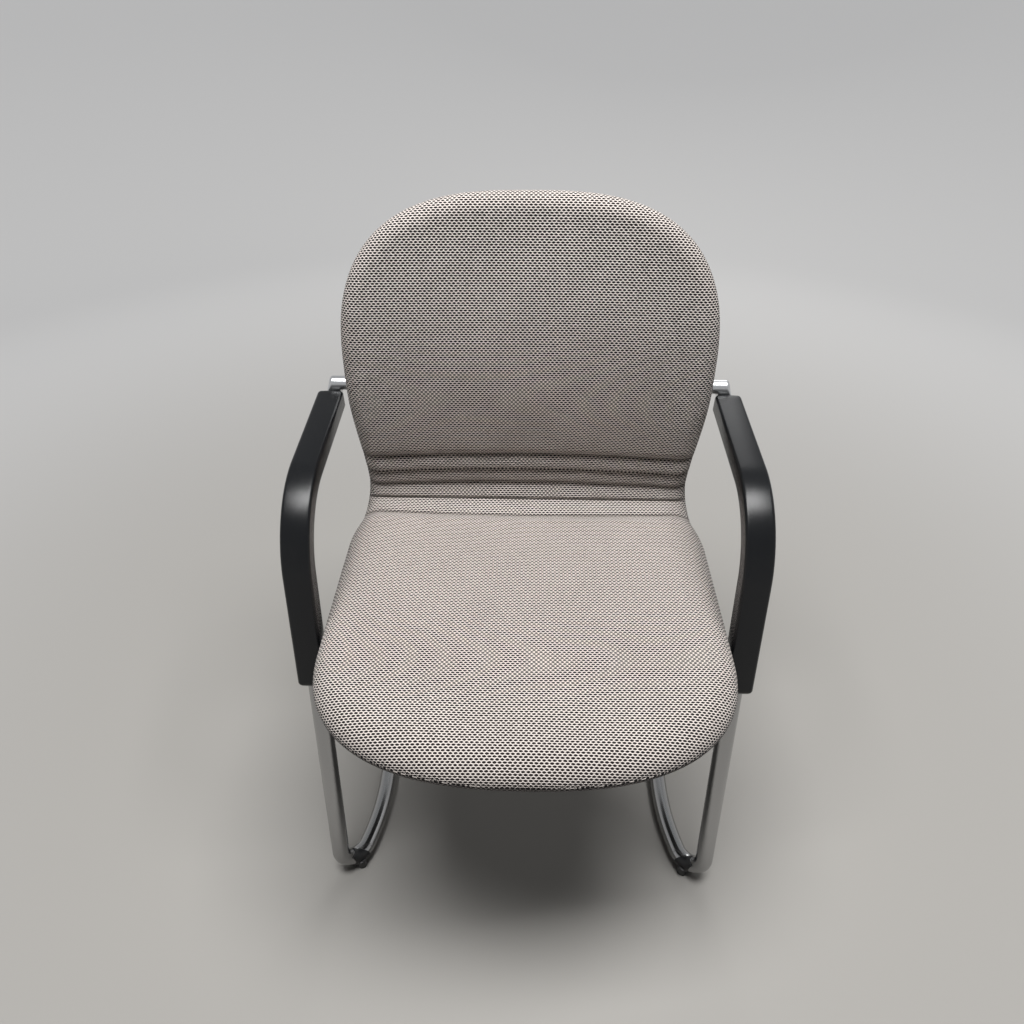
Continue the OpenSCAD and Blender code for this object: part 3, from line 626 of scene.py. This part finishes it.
FINISHES = {"woven_cover": woven_finish()}
for slot, values in {
    "satin_tube": dict(
        colour=(0.38, 0.38, 0.38), roughness=0.18, metallic=1.0,
        grain=2400, depth=0.012, softness=0.9, tone=0.04, smudge=0.05, dust=0.008,
    ),
    "inner_steel": dict(colour=(0.45, 0.45, 0.46), roughness=0.38, metallic=1.0, grain=1800, depth=0.02),
    "black_steel": dict(colour=(0.026, 0.026, 0.03), roughness=0.42, grain=1500, depth=0.05, dust=0.04),
    "black_plastic": dict(colour=(0.008, 0.008, 0.009), roughness=0.36, grain=1300, depth=0.05, dust=0.02),
    "shell_plastic": dict(colour=(0.02, 0.02, 0.023), roughness=0.5, grain=1100, depth=0.12, dust=0.03),
    "pad_plastic": dict(
        colour=(0.004, 0.0045, 0.0055), roughness=0.25, Specular_IOR_Level=0.34,
        grain=1300, depth=0.09, softness=0.4, smudge=0.06, dust=0.006,
    ),
    "cast_metal": dict(
        colour=(0.70, 0.71, 0.72), roughness=0.3, metallic=1.0,
        grain=1100, depth=0.04, softness=0.8, smudge=0.1,
    ),
    "web_rubber": dict(colour=(0.022, 0.022, 0.022), roughness=0.65, grain=900, depth=0.08, dust=0.04),
}.items():
    FINISHES[slot] = surface_finish(slot, **values)


def dressed(piece, body, slot, nodes):
    """Gives a finished piece its finish and its body, and hides the solids that it stands for."""
    piece.data.materials.clear()
    piece.data.materials.append(FINISHES[slot])
    if body:
        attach(piece, body)
    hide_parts(*nodes)
    return piece


# Camera, at the place and with the view of the photograph
CAMERA_AT = (-0.69, -592, 1161)
CAMERA_PITCH, CAMERA_YAW, FOCAL_PIXELS, IMAGE_SIZE = math.radians(38), 0.0234, 769, 1024


def make_camera():
    lens = bpy.data.cameras.new("camera")
    lens.sensor_width = 36
    lens.lens = FOCAL_PIXELS / IMAGE_SIZE * lens.sensor_width
    camera = bpy.data.objects.new("camera", lens)
    bpy.context.scene.collection.objects.link(camera)
    ahead = Vector((
        -math.sin(CAMERA_YAW) * math.cos(CAMERA_PITCH),
        math.cos(CAMERA_YAW) * math.cos(CAMERA_PITCH),
        -math.sin(CAMERA_PITCH),
    ))
    right = Vector((math.cos(CAMERA_YAW), math.sin(CAMERA_YAW), 0))
    up = right.cross(ahead)
    turned = Matrix((right, up, -ahead)).transposed().to_4x4()
    camera.matrix_world = Matrix.Translation(placed(CAMERA_AT)[0]) @ turned
    bpy.context.scene.camera = camera


make_camera()


# Cover of the seat, the fold and the back, in one piece
WEAVE_STEPS = 90


def face_length(x, first, last):
    """Length of the cover's face at x from first to last, in steps that are finest at first."""
    t = np.linspace(0, 1, WEAVE_STEPS) ** 3
    s = mix(first[..., None], last, t)
    place = np.broadcast_to(x[..., None], s.shape)
    steps = np.diff(over_line(place, s, top_h(place, s)), axis=-2)
    return np.hypot(steps[..., 1], steps[..., 2]).sum(axis=-1)


def cloth_length(x, s):
    """Length of cover up to x, s: straight rows of weave, also over the rounding of the rims."""
    fine_s = np.arange(0, TOP_S, LENGTH_STEP)
    middle = over_line(0 * fine_s, fine_s, top_h(0 * fine_s, fine_s))
    steps = np.linalg.norm(np.diff(middle, axis=0), axis=1)
    total = np.concatenate([[0.0], np.cumsum(steps)])
    rib, crown = np.interp([RIB_S, CROWN_S], fine_s, total)
    seat = rib - face_length(x, np.minimum(s, RIB_S), RIB_S)
    top = crown + face_length(x, np.maximum(s, CROWN_S), CROWN_S)
    return np.select([s < RIB_S, s > CROWN_S], [seat, top], np.interp(s, fine_s, total))


def make_cover():
    stations = np.concatenate([
        nose_stations(40, COVER_FIRST),
        run(SEAT_NOSE, RIB_S - RIB_FADE, LONG_STEP),
        run(RIB_S - RIB_FADE, RIB_S, SHORT_STEP),
        rib_run(22),
        run(RIB_END_S, RIB_END_S + RIB_FADE, SHORT_STEP),
        run(RIB_END_S + RIB_FADE, CROWN_S, LONG_STEP),
        crown_stations(44, COVER_FIRST)[1:],
    ])
    share = across(COVER_COLUMNS)
    s = np.repeat(stations[:, None], len(share), axis=1)
    x = share[None, :] * outline_w(s)
    # Waves of unlike lengths
    uneven = UNEVEN_DEPTH * (
        np.sin(x / 37 + s / 61 + 0.7) * np.sin(s / 43 - x / 83 + 1.9) + 0.6 * np.sin(x / 19 - s / 23 + 4.1)
    )
    flat = smooth(edge_distance(x, s) / UNEVEN_EDGE) * (1 - channel(s))
    top = over_line(x, s, top_h(x, s) + uneven * flat)
    under = over_line(x, s, under_h(x, s))
    middle = share.size // 2
    steps = np.linalg.norm(np.diff(top, axis=1), axis=2)
    out = np.concatenate([[[0.0]] * len(stations), np.cumsum(steps, axis=1)], axis=1)
    out = out - out[:, middle:middle + 1]
    along = cloth_length(x, s)
    uv = np.tile(np.stack([out, along], axis=-1).reshape(-1, 2), (2, 1))
    points, faces = closed_sheet(top, under)
    return make_piece("upholstery_cover", points, faces, uv)


cover = dressed(make_cover(), None, "woven_cover", ["seat_cushion", "fold_cushion", "back_cushion"])
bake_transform(cover)


# Shells behind the padding, with a softly rounded rim, and the corrugated web between them
def backing(name, stations, columns, t, rim, wave=0.0):
    share = across(columns)
    s = np.repeat(stations[:, None], len(share), axis=1)
    x = share[None, :] * outline_w(s, SHELL_INSET)
    sunk = GAP + wave * (1 - np.cos(TURN * (s - RIB_S) / RIB_PITCH)) / 2
    depth = np.maximum(SHELL_RIM_T, t * round_off(edge_distance(x, s, SHELL_INSET), rim)) if rim else t
    top = over_line(x, s, under_h(x, s) - sunk)
    under = over_line(x, s, under_h(x, s) - sunk - depth)
    return make_piece(name, *closed_sheet(top, under))


seat_shell = backing("seat_shell_moulded", np.concatenate([
    nose_stations(34, SHELL_FIRST, SHELL_INSET), run(SEAT_NOSE, RIB_S - GAP / 2, SHELL_STEP),
]), SHELL_COLUMNS, SHELL_T, SHELL_RIM_R)
dressed(seat_shell, "frame", "shell_plastic", ["seat_shell"])

web = backing("corrugated_web", np.concatenate([
    [RIB_S + GAP / 2], rib_run(14)[:-1], [RIB_END_S - GAP / 2],
]), WEB_COLUMNS, WEB_T, 0, WEB_WAVE)
dressed(web, None, "web_rubber", ["fold_web"])
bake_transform(web)


def pivot_boss(side):
    """Housing of a pivot: a round bore in a block that runs into the shell."""
    angles = np.linspace(0, TURN, BOSS_SIDES, endpoint=False)
    front = LUMBAR_Y + BACK_T + GAP + SHELL_T / 2 - BACK_DISH * (2 * BOSS_X / BACK_W) ** 2 + BOSS_SINK
    bore_r = BUSH_R + BORE_PLAY
    outer, inner = [], []
    for a in angles:
        dy, dz = math.cos(a), math.sin(a)
        reach = BOSS_R if dy >= 0 else min(BOSS_R / max(abs(dz), 1e-6), (PIVOT_Y - front) / max(-dy, 1e-6))
        outer.append((PIVOT_Y + dy * reach, PIVOT_Z + dz * reach))
        inner.append((PIVOT_Y + dy * bore_r, PIVOT_Z + dz * bore_r))
    ends = (BOSS_X - BOSS_L / 2, BOSS_X + BOSS_L / 2)
    loops = [[(side * x, y, z) for y, z in shape] for x in ends for shape in (outer, inner)]
    faces = [f for a, b in ((0, 1), (1, 3), (3, 2), (2, 0)) for f in ring_faces(a, b, BOSS_SIDES)]
    boss = make_piece("boss", np.concatenate(loops), faces)
    return edge_bevel(boss, BOSS_ROUND, segments=3, angle=40, even=False)


back_plate = backing("plate", np.concatenate([
    [RIB_END_S + GAP / 2], run(RIB_END_S + GAP / 2, CROWN_S, SHELL_STEP),
    crown_stations(36, SHELL_FIRST, SHELL_INSET)[1:],
]), SHELL_COLUMNS, SHELL_T, SHELL_RIM_R)
back_shell = joined("back_shell_moulded", [back_plate, pivot_boss(-1), pivot_boss(1)])
dressed(back_shell, "back", "shell_plastic", ["back_shell"])


# The tube frame
def unit(v):
    v = np.asarray(v, float)
    return v / np.linalg.norm(v)


def turn_between(a, b):
    return math.acos(float(np.clip(np.dot(a, b), -1, 1)))


def set_back(r, a, b):
    return r * math.tan(turn_between(a, b) / 2)


def plan_dir(a):
    return np.array([-math.sin(a), math.cos(a), 0.0])


ARM_END = np.array([ARM_X, PIVOT_Y - ELBOW_REACH, ARM_H])
ARM_DIR = np.array([0, -math.cos(ARM_FALL), -math.sin(ARM_FALL)])
LEG_DIR = -unit([math.tan(LEG_SPREAD), math.tan(LEG_LEAN), 1])
ARM_RUN = ((ARM_END[1] - LEG_MARK_Y) - (ARM_END[2] - LEG_MARK_Z) * math.tan(LEG_LEAN)) / (
    math.cos(ARM_FALL) - math.sin(ARM_FALL) * math.tan(LEG_LEAN)
)
ARM_CORNER = ARM_END + ARM_DIR * ARM_RUN


def at_leg(z):
    return ARM_CORNER + LEG_DIR * (ARM_CORNER[2] - z) / -LEG_DIR[2]


RUNNER_Z = TUBE_R + FOOT_LIFT
FLOOR_CORNER = at_leg(RUNNER_Z)
RUNNER_X = FLOOR_CORNER[0] - RUNNER_INSET
DIR_1, DIR_2, DIR_3 = plan_dir(FIRST_HEADING), plan_dir(SECOND_HEADING), plan_dir(0)
INNER_BACK = set_back(INNER_BEND_R, DIR_1, DIR_2)
INNER_CORNER = FLOOR_CORNER + DIR_1 * (set_back(FLOOR_BEND_R, LEG_DIR, DIR_1) + INNER_BACK + BEND_REST)
RUNNER_CORNER = INNER_CORNER + DIR_2 * (INNER_CORNER[0] - RUNNER_X) / math.sin(SECOND_HEADING)
RUNNER_BEND_R = (np.linalg.norm(RUNNER_CORNER - INNER_CORNER) - INNER_BACK - BEND_REST) / math.tan(
    turn_between(DIR_2, DIR_3) / 2
)
JOINT_END = np.array([RUNNER_X, JOINT_Y, RUNNER_Z])
REAR_CORNER = np.array([RUNNER_X, BASE_D, RUNNER_Z])
SIDE_PATH = [ARM_END, ARM_CORNER, FLOOR_CORNER, INNER_CORNER, RUNNER_CORNER, JOINT_END]
SIDE_RADII = [0, ARM_BEND_R, FLOOR_BEND_R, INNER_BEND_R, RUNNER_BEND_R, 0]
BASE_PATH = [JOINT_END, REAR_CORNER, on_side(REAR_CORNER, -1), on_side(JOINT_END, -1)]
BASE_RADII = [0, REAR_BEND_R, REAR_BEND_R, 0]


def bent_tube_tree():
    """Sweeps a round tube along a line of corners, each rounded to its own bend radius."""
    tree, given, out = new_tree(
        "bent_tube", "GeometryNodeTree",
        {"Line": SHAPE, "Tube radius": FLOAT, "Sides": COUNT, "Bend steps": COUNT, "Finish": FINISH},
        {"Tube": SHAPE},
    )
    line = add_node(tree, "GeometryNodeMeshToCurve", {0: given["Line"]})
    bend = add_node(tree, "GeometryNodeInputNamedAttribute", {"Name": "bend_radius"}, data_type="FLOAT")
    bent = add_node(
        tree, "GeometryNodeFilletCurve",
        {0: line.outputs[0], "Count": given["Bend steps"], "Radius": bend.outputs[0], "Limit Radius": True},
        mode="POLY",
    )
    even = add_node(tree, "GeometryNodeSetCurveRadius", {0: bent.outputs[0], "Radius": 1.0})
    ring = add_node(
        tree, "GeometryNodeCurvePrimitiveCircle",
        {"Resolution": given["Sides"], "Radius": given["Tube radius"]},
    )
    swept = add_node(
        tree, "GeometryNodeCurveToMesh",
        {"Curve": even.outputs[0], "Profile Curve": ring.outputs[0], "Fill Caps": True},
    )
    finish_tree(tree, swept.outputs[0], given["Finish"], out["Tube"])
    return tree


def finish_tree(tree, shape, finish, out):
    """The last nodes of a geometry tree: plain meshes with a smooth shade and a finish."""
    soft = add_node(tree, "GeometryNodeSetShadeSmooth", {0: shape})
    plain = add_node(tree, "GeometryNodeRealizeInstances", {0: soft.outputs[0]})
    coated = add_node(tree, "GeometryNodeSetMaterial", {0: plain.outputs[0], "Material": finish})
    tree.links.new(coated.outputs[0], out)


def line_object(points, closed=False, **values):
    """A line of points with values on them, for a geometry tree to follow."""
    mesh = bpy.data.meshes.new("line")
    count = len(points)
    edges = [(k, (k + 1) % count) for k in range(count if closed else count - 1)]
    mesh.from_pydata(placed(points).tolist(), edges, [])
    for label, value in values.items():
        made = mesh.attributes.new(label, "FLOAT", "POINT")
        made.data.foreach_set("value", np.asarray(value, np.float32))
    return link("line", mesh)


BENT_TUBE = bent_tube_tree()


def bent_tube(name, points, radii):
    line = line_object(points, bend_radius=np.asarray(radii) * MM)
    piece = grown(line, BENT_TUBE, name, "satin_tube", {
        "Tube radius": TUBE_R * MM, "Sides": TUBE_SIDES, "Bend steps": BEND_STEPS,
    })
    return edge_bevel(piece, TUBE_EDGE)


def weld_tree():
    """Sweeps a bead along a seam, thicker and thinner by turns as its ripples follow each other."""
    tree, given, out = new_tree(
        "weld_bead", "GeometryNodeTree",
        {"Seam": SHAPE, "Bead radius": FLOAT, "Ripple length": FLOAT, "Ripple depth": FLOAT,
         "Finish": FINISH},
        {"Bead": SHAPE},
    )
    line = add_node(tree, "GeometryNodeMeshToCurve", {0: given["Seam"]})
    fine = add_node(
        tree, "GeometryNodeResampleCurve", {0: line.outputs[0], "Length": 0.4 * MM}, mode="LENGTH"
    )
    place = tree.nodes.new("GeometryNodeSplineParameter")
    turns = calc(tree, "DIVIDE", place.outputs["Length"], given["Ripple length"])
    wave = calc(tree, "SINE", calc(tree, "MULTIPLY", turns, TURN))
    size = calc(tree, "ADD", 1.0, calc(tree, "MULTIPLY", wave, given["Ripple depth"]))
    ring = add_node(
        tree, "GeometryNodeCurvePrimitiveCircle", {"Resolution": 12, "Radius": given["Bead radius"]}
    )
    swept = add_node(
        tree, "GeometryNodeCurveToMesh",
        {"Curve": fine.outputs[0], "Profile Curve": ring.outputs[0], "Scale": size},
    )
    finish_tree(tree, swept.outputs[0], given["Finish"], out["Bead"])
    return tree


WELD = weld_tree()


def beam_seam(side):
    """Points where the cross tube under the seat meets a leg."""
    end = at_leg(BEAM_H)
    seam = []
    for a in np.linspace(0, TURN, SEAM_STEPS, endpoint=False):
        off = np.array([0, TUBE_R * math.cos(a), TUBE_R * math.sin(a)])
        # The leg's surface along the line end + off + (-k, 0, 0)
        across_leg = off - LEG_DIR * np.dot(off, LEG_DIR)
        ahead = np.array([-1.0, 0, 0]) + LEG_DIR * LEG_DIR[0]
        b, c = np.dot(across_leg, ahead), np.dot(across_leg, across_leg) - TUBE_R ** 2
        k = (-b + math.sqrt(max(b * b - np.dot(ahead, ahead) * c, 0))) / np.dot(ahead, ahead)
        seam.append(on_side(end + off + [-k, 0, 0], side))
    return seam


def make_beam():
    """The cross tube, which ends inside the legs and is a hair thinner, so that no two faces coincide."""
    end = at_leg(BEAM_H) + [-BEAM_INTO_LEG, 0, 0]
    line = line_object([on_side(end, -1), end], bend_radius=[0, 0])
    tube = grown(line, BENT_TUBE, "tube", "satin_tube", {
        "Tube radius": (TUBE_R - HAIR) * MM, "Sides": TUBE_SIDES, "Bend steps": 2,
    })
    beads = [
        grown(line_object(beam_seam(side), closed=True), WELD, "bead", "satin_tube", {
            "Bead radius": WELD_R * MM, "Ripple length": WELD_RIPPLE * MM, "Ripple depth": WELD_DEPTH_SHARE,
        })
        for side in (-1, 1)
    ]
    return joined("seat_beam_welded", [tube] + beads)


for side, label in SIDES:
    tube = bent_tube(f"side_tube_{label}_bent", on_side(SIDE_PATH, side), SIDE_RADII)
    dressed(tube, "frame", "satin_tube", [f"side_tube_{label}"])
dressed(bent_tube("base_tube_bent", BASE_PATH, BASE_RADII), "frame", "satin_tube", ["base_tube"])
dressed(make_beam(), "frame", "satin_tube", ["seat_beam"])


# Arm pads
def spin(v, k, a):
    """The vector v turned by the angle a about the unit vector k."""
    return v * math.cos(a) + np.cross(k, v) * math.sin(a) + k * np.dot(k, v) * (1 - math.cos(a))


def rings_along(points, radii, side, step):
    """Rings along a line with round bends, each as its centre and two directions square to the line."""
    dirs = [unit(b - a) for a, b in zip(points, points[1:])]
    rings = [(points[0], side, np.cross(dirs[0], side))]
    for i in range(1, len(points) - 1):
        before, after = dirs[i - 1], dirs[i]
        axis = unit(np.cross(before, after))
        angle = turn_between(before, after)
        inward = np.cross(axis, before)
        centre = points[i] - before * set_back(radii[i], before, after) + inward * radii[i]
        count = int(math.ceil(angle / step))
        for j in range(count + 1):
            b = angle * j / count
            v = spin(side, axis, b)
            rings.append((centre - spin(inward, axis, b) * radii[i], v, np.cross(spin(before, axis, b), v)))
        side = spin(side, axis, angle)
    rings.append((points[-1], side, np.cross(dirs[-1], side)))
    return rings


def arc(centre, r, first, last, count):
    return [
        (centre[0] + r * math.cos(a), centre[1] + r * math.sin(a))
        for a in np.radians(np.linspace(first, last, count))
    ]


# Half the angle that one flat of the groove takes up in the solid pads
GROOVE_HALF_FLAT = math.radians(9)


def pad_outline(draw):
    """Outline of an arm pad: x towards its face, y across, with its edges drawn in."""
    w, f = PAD_W / 2 - draw, PAD_COVER - draw
    groove = (TUBE_R + BORE_PLAY) / math.cos(GROOVE_HALF_FLAT)
    b, r = min(PAD_BACK_R, w - groove), PAD_FACE_R
    face = [
        (f + PAD_CROWN * (1 - (y / (w - r)) ** 2) * max(0, 1 - draw / r), y)
        for y in np.linspace(-w + r, w - r, 9)
    ]
    upper = arc((f - r, w - r), r, 0, 90, 9)[1:] + arc((b, w - b), b, 90, 180, 6)
    bore = arc((0, 0), groove, 90, -90, 19)
    lower = arc((b, -w + b), b, 180, 270, 6) + arc((f - r, -w + r), r, 270, 360, 9)[:-1]
    return face + upper + bore + lower


def laid(ring, outline):
    return [ring[0] + ring[1] * x + ring[2] * y for x, y in outline]


def skinned(name, sections):
    """A closed piece through sections that have the same number of points."""
    count, n = len(sections), len(sections[0])
    faces = [f for i in range(count - 1) for f in ring_faces(i, i + 1, n)]
    faces += [list(range(n)), list(range((count - 1) * n, count * n))[::-1]]
    return make_piece(name, np.concatenate(sections), faces)


ARM_FACE = np.array([0, -math.sin(ARM_FALL), math.cos(ARM_FALL)])
LEG_FACE = spin(ARM_FACE, unit(np.cross(ARM_DIR, LEG_DIR)), turn_between(ARM_DIR, LEG_DIR))
PAD_LOW = at_leg(PAD_LOW_H)


def make_pad(side, label):
    path = [ARM_END - ARM_DIR * PAD_PAST_END, ARM_CORNER, PAD_LOW]
    rings = rings_along(path, [0, ARM_BEND_R, 0], ARM_FACE, math.radians(2.5))
    ease = np.radians(np.linspace(0, 90, 8))
    shares = [(1 - math.cos(a), 1 - math.sin(a)) for a in ease]

    def rounded(ring, inward, share):
        """A section near an end: share is how far in it lies and how far its outline is drawn in."""
        at = ring[0] + inward * share[0] * PAD_END_ROUND
        return laid((at, ring[1], ring[2]), pad_outline(share[1] * PAD_END_ROUND * PAD_END_DRAW))

    def between(a, b, ring, first, last):
        """Sections of a straight stretch, from the share first to the share last of it."""
        places = [mix(a[0], b[0], t) for t in np.linspace(first, last, 12)]
        return [laid((at, ring[1], ring[2]), pad_outline(0)) for at in places]

    sections = (
        [rounded(rings[0], ARM_DIR, e) for e in shares]
        + between(rings[0], rings[1], rings[0], 0.08, 0.95)
        + [laid(r, pad_outline(0)) for r in rings[1:-1]]
        + between(rings[-2], rings[-1], rings[-1], 0.05, 0.92)
        + [rounded(rings[-1], -LEG_DIR, e) for e in shares[::-1]]
    )
    piece = skinned(f"arm_pad_{label}_moulded", [on_side(p, side) for p in sections])
    dressed(piece, "frame", "pad_plastic", [f"arm_pad_{label}"])


def refined(make, node, ending, body, slot, *sizes):
    """A finer copy of one solid in its place, softened or crisp, with its making as its name's ending."""
    dressed(make(node, f"{node}_{ending}", *sizes), body, slot, [node])


for side, label in SIDES:
    make_pad(side, label)
    refined(softened, f"arm_elbow_{label}", "cast", "frame", "cast_metal", 0.8, 10)
    refined(softened, f"front_glide_{label}", "moulded", "frame", "black_plastic", 0.6, 3)
    refined(softened, f"rear_glide_{label}", "moulded", "frame", "black_plastic", 0.6, 3)
    refined(crisp, f"pivot_bush_{label}", "turned", "back", "black_plastic", 0.4)
    refined(crisp, f"seat_bracket_{label}", "pressed", "frame", "black_steel", 0.6)
refined(crisp, "seat_spacers", "turned", "frame", "black_plastic", 0.6)


# Screws with domed heads and hexagon sockets
def raised(tree, shape, height):
    """The shape moved along z by height."""
    move = add_node(tree, "ShaderNodeCombineXYZ", {2: height})
    return add_node(
        tree, "GeometryNodeTransform", {0: shape.outputs[0], "Translation": move.outputs[0]}
    ).outputs[0]


def screw_tree():
    """Sets a domed socket screw at each point, with its head towards the point's own direction."""
    tree, given, out = new_tree(
        "socket_screw", "GeometryNodeTree",
        {"Places": SHAPE, "Head radius": FLOAT, "Head height": FLOAT, "Socket radius": FLOAT,
         "Shank radius": FLOAT, "Shank length": FLOAT, "Finish": FINISH},
        {"Screws": SHAPE},
    )
    ball = add_node(tree, "GeometryNodeMeshUVSphere", {"Segments": 32, "Rings": 20, "Radius": 1.0})
    size = add_node(
        tree, "ShaderNodeCombineXYZ",
        {0: given["Head radius"], 1: given["Head radius"], 2: given["Head height"]},
    )
    dome = add_node(tree, "GeometryNodeTransform", {0: ball.outputs[0], "Scale": size.outputs[0]})
    # The block takes the lower half of the ball away, and the socket is cut into its top
    wide = calc(tree, "MULTIPLY", given["Head radius"], 4.0)
    cube = add_node(tree, "ShaderNodeCombineXYZ", {0: wide, 1: wide, 2: wide})
    block = add_node(tree, "GeometryNodeMeshCube", {0: cube.outputs[0]})
    socket = add_node(
        tree, "GeometryNodeMeshCylinder",
        {"Vertices": 6, "Radius": given["Socket radius"], "Depth": given["Head height"]},
    )
    cut = add_node(
        tree, "GeometryNodeMeshBoolean", {0: dome.outputs[0]}, operation="DIFFERENCE", solver="EXACT"
    )
    tree.links.new(raised(tree, block, calc(tree, "MULTIPLY", wide, -0.5)), cut.inputs[1])
    tree.links.new(raised(tree, socket, given["Head height"]), cut.inputs[1])
    shank = add_node(
        tree, "GeometryNodeMeshCylinder",
        {"Vertices": 24, "Radius": given["Shank radius"], "Depth": given["Shank length"]},
    )
    sunk = raised(tree, shank, calc(tree, "MULTIPLY", given["Shank length"], -0.5))
    screw = add_node(tree, "GeometryNodeJoinGeometry")
    tree.links.new(cut.outputs[0], screw.inputs[0])
    tree.links.new(sunk, screw.inputs[0])
    aim = add_node(tree, "GeometryNodeInputNamedAttribute", {"Name": "aim"}, data_type="FLOAT_VECTOR")
    turned = add_node(tree, "FunctionNodeAlignRotationToVector", {"Vector": aim.outputs[0]}, axis="Z")
    put = add_node(
        tree, "GeometryNodeInstanceOnPoints",
        {0: given["Places"], "Instance": screw.outputs[0], "Rotation": turned.outputs[0]},
    )
    finish_tree(tree, put.outputs[0], given["Finish"], out["Screws"])
    return tree


SCREW = screw_tree()


def screws(node, places, head_r, head_h, socket_r, shank_r, shank_l):
    """Screws on both sides. Each place is the seat of a head and the direction in which the head points."""
    seats, aims = [[on_side(place[k], side) for place in places for side, _ in SIDES] for k in (0, 1)]
    mesh = bpy.data.meshes.new("places")
    mesh.from_pydata(placed(seats).tolist(), [], [])
    aim = mesh.attributes.new("aim", "FLOAT_VECTOR", "POINT")
    aim.data.foreach_set("vector", np.array(aims, np.float32).ravel())
    screw = grown(link("places", mesh), SCREW, f"{node}_domed", "inner_steel", {
        "Head radius": head_r * MM, "Head height": head_h * MM, "Socket radius": socket_r * MM,
        "Shank radius": shank_r * MM, "Shank length": shank_l * MM,
    })
    dressed(screw, "frame", "inner_steel", [node])


pad_rows = [(ARM_END + ARM_DIR * reach, ARM_FACE) for reach in PAD_SCREW_REACHES]
pad_rows.append((PAD_LOW - LEG_DIR * PAD_SCREW_RISE, LEG_FACE))
screws(
    "arm_pad_screws", [(p - d * (TUBE_R + BORE_PLAY), -d) for p, d in pad_rows],
    head_r=4.5, head_h=2.5, socket_r=1.7, shank_r=2.5, shank_l=35,
)

bracket_under = SEAT_H - SEAT_T - GAP - SHELL_T - SPACER_H - BRACKET_T
beam_y = at_leg(BEAM_H)[1]
screws(
    "seat_screws",
    [((BRACKET_X, y, bracket_under), (0, 0, -1))
     for y in (beam_y - BRACKET_BEFORE + SPACER_IN, beam_y + BRACKET_BEHIND - SPACER_IN)],
    head_r=5.5, head_h=4, socket_r=2.2, shank_r=3, shank_l=12,
)
refined(crisp, "elbow_screws", "set", "frame", "inner_steel", 0.3)

# The solids that no piece stands for, inside the tubes, get their finish
for name, node in frame["nodes"].items():
    row = [r for r in frame["record"]["subparts"] if r["node"] == name]
    if row and not node.hide_render:
        for held in node.material_slots:
            held.material = FINISHES[row[0]["material_slot"]]


# Floor that runs up into a wall all round, and the lights
def shown(tree):
    """1 for the rays that show the studio itself, 0 for those that carry its light."""
    rays = tree.nodes.new("ShaderNodeLightPath").outputs
    seen = calc(tree, "MAXIMUM", rays["Is Camera Ray"], rays["Is Glossy Ray"])
    return calc(tree, "MAXIMUM", seen, rays["Is Transmission Ray"])


def studio_finish():
    """Pale where it is seen, darker in the light that it throws back, and brighter away from the middle."""
    finish, tree, shader, place = new_finish(
        "studio_floor", Roughness=0.85, Specular_IOR_Level=0.2, Emission_Color=(0.32, 0.325, 0.335, 1)
    )
    seen = shown(tree)
    pale = mixed_colour(tree, seen, (0.12, 0.12, 0.12, 1), (0.46, 0.445, 0.42, 1))
    tree.links.new(pale, shader.inputs["Base Color"])
    at = add_node(tree, "ShaderNodeSeparateXYZ", {0: place}).outputs
    out_from_middle = calc(tree, "SQRT", calc(
        tree, "ADD", calc(tree, "POWER", at[0], 2.0), calc(tree, "POWER", at[1], 2.0)
    ))
    glow = calc(tree, "MULTIPLY", ramp(tree, out_from_middle, 0.5, 2.4), seen)
    tree.links.new(glow, shader.inputs["Emission Strength"])
    return finish


def make_floor():
    floor_r, sweep_r, wall_top, turns = 2.6, 0.8, 3.6, 96
    bends = np.radians(np.linspace(0, 90, 13))
    profile = [(floor_r + sweep_r * math.sin(a), sweep_r * (1 - math.cos(a))) for a in bends]
    profile.append((floor_r + sweep_r, wall_top))
    rounds = np.linspace(0, TURN, turns, endpoint=False)
    points = [(r * math.cos(a), r * math.sin(a), z) for r, z in profile for a in rounds]
    faces = [f for i in range(len(profile) - 1) for f in ring_faces(i, i + 1, turns)]
    mesh = bpy.data.meshes.new("studio")
    mesh.from_pydata(points, [], [list(range(turns))] + faces)
    shade_smooth(mesh)
    mesh.materials.append(studio_finish())
    link("studio_floor", mesh)


def lamp(name, place, size, power):
    """A rectangular lamp that points at the middle of the chair, with its place and sizes in metres."""
    light = bpy.data.lights.new(name, "AREA")
    light.shape, light.size, light.size_y = "RECTANGLE", size[0], size[1]
    light.energy = power
    body = bpy.data.objects.new(name, light)
    bpy.context.scene.collection.objects.link(body)
    body.location = place
    body.rotation_euler = (Vector((0, 0, 0.5)) - Vector(place)).to_track_quat("-Z", "Y").to_euler()


def make_world():
    world = bpy.data.worlds.new("studio")
    bpy.context.scene.world = world
    world.use_nodes = True
    tree = world.node_tree
    back = tree.nodes["Background"].inputs
    back["Color"].default_value = (0.86, 0.88, 0.9, 1)
    strength = add_node(tree, "ShaderNodeMapRange", {"Value": shown(tree), "To Min": 0.04, "To Max": 0.42})
    tree.links.new(strength.outputs[0], back["Strength"])


make_floor()
lamp("ceiling_lamp", (0.05, -0.28, 2.7), (2.1, 0.8), 80)
lamp("front_lamp", (-1.4, -2.2, 1.9), (1.4, 1.4), 0.25)
lamp("back_lamp", (0.5, 2.6, 1.9), (1.4, 1.4), 14)
lamp("side_lamp", (2.2, 0.6, 1.8), (1.2, 1.2), 1.5)
make_world()
bpy.context.scene.view_settings.view_transform = "Standard"
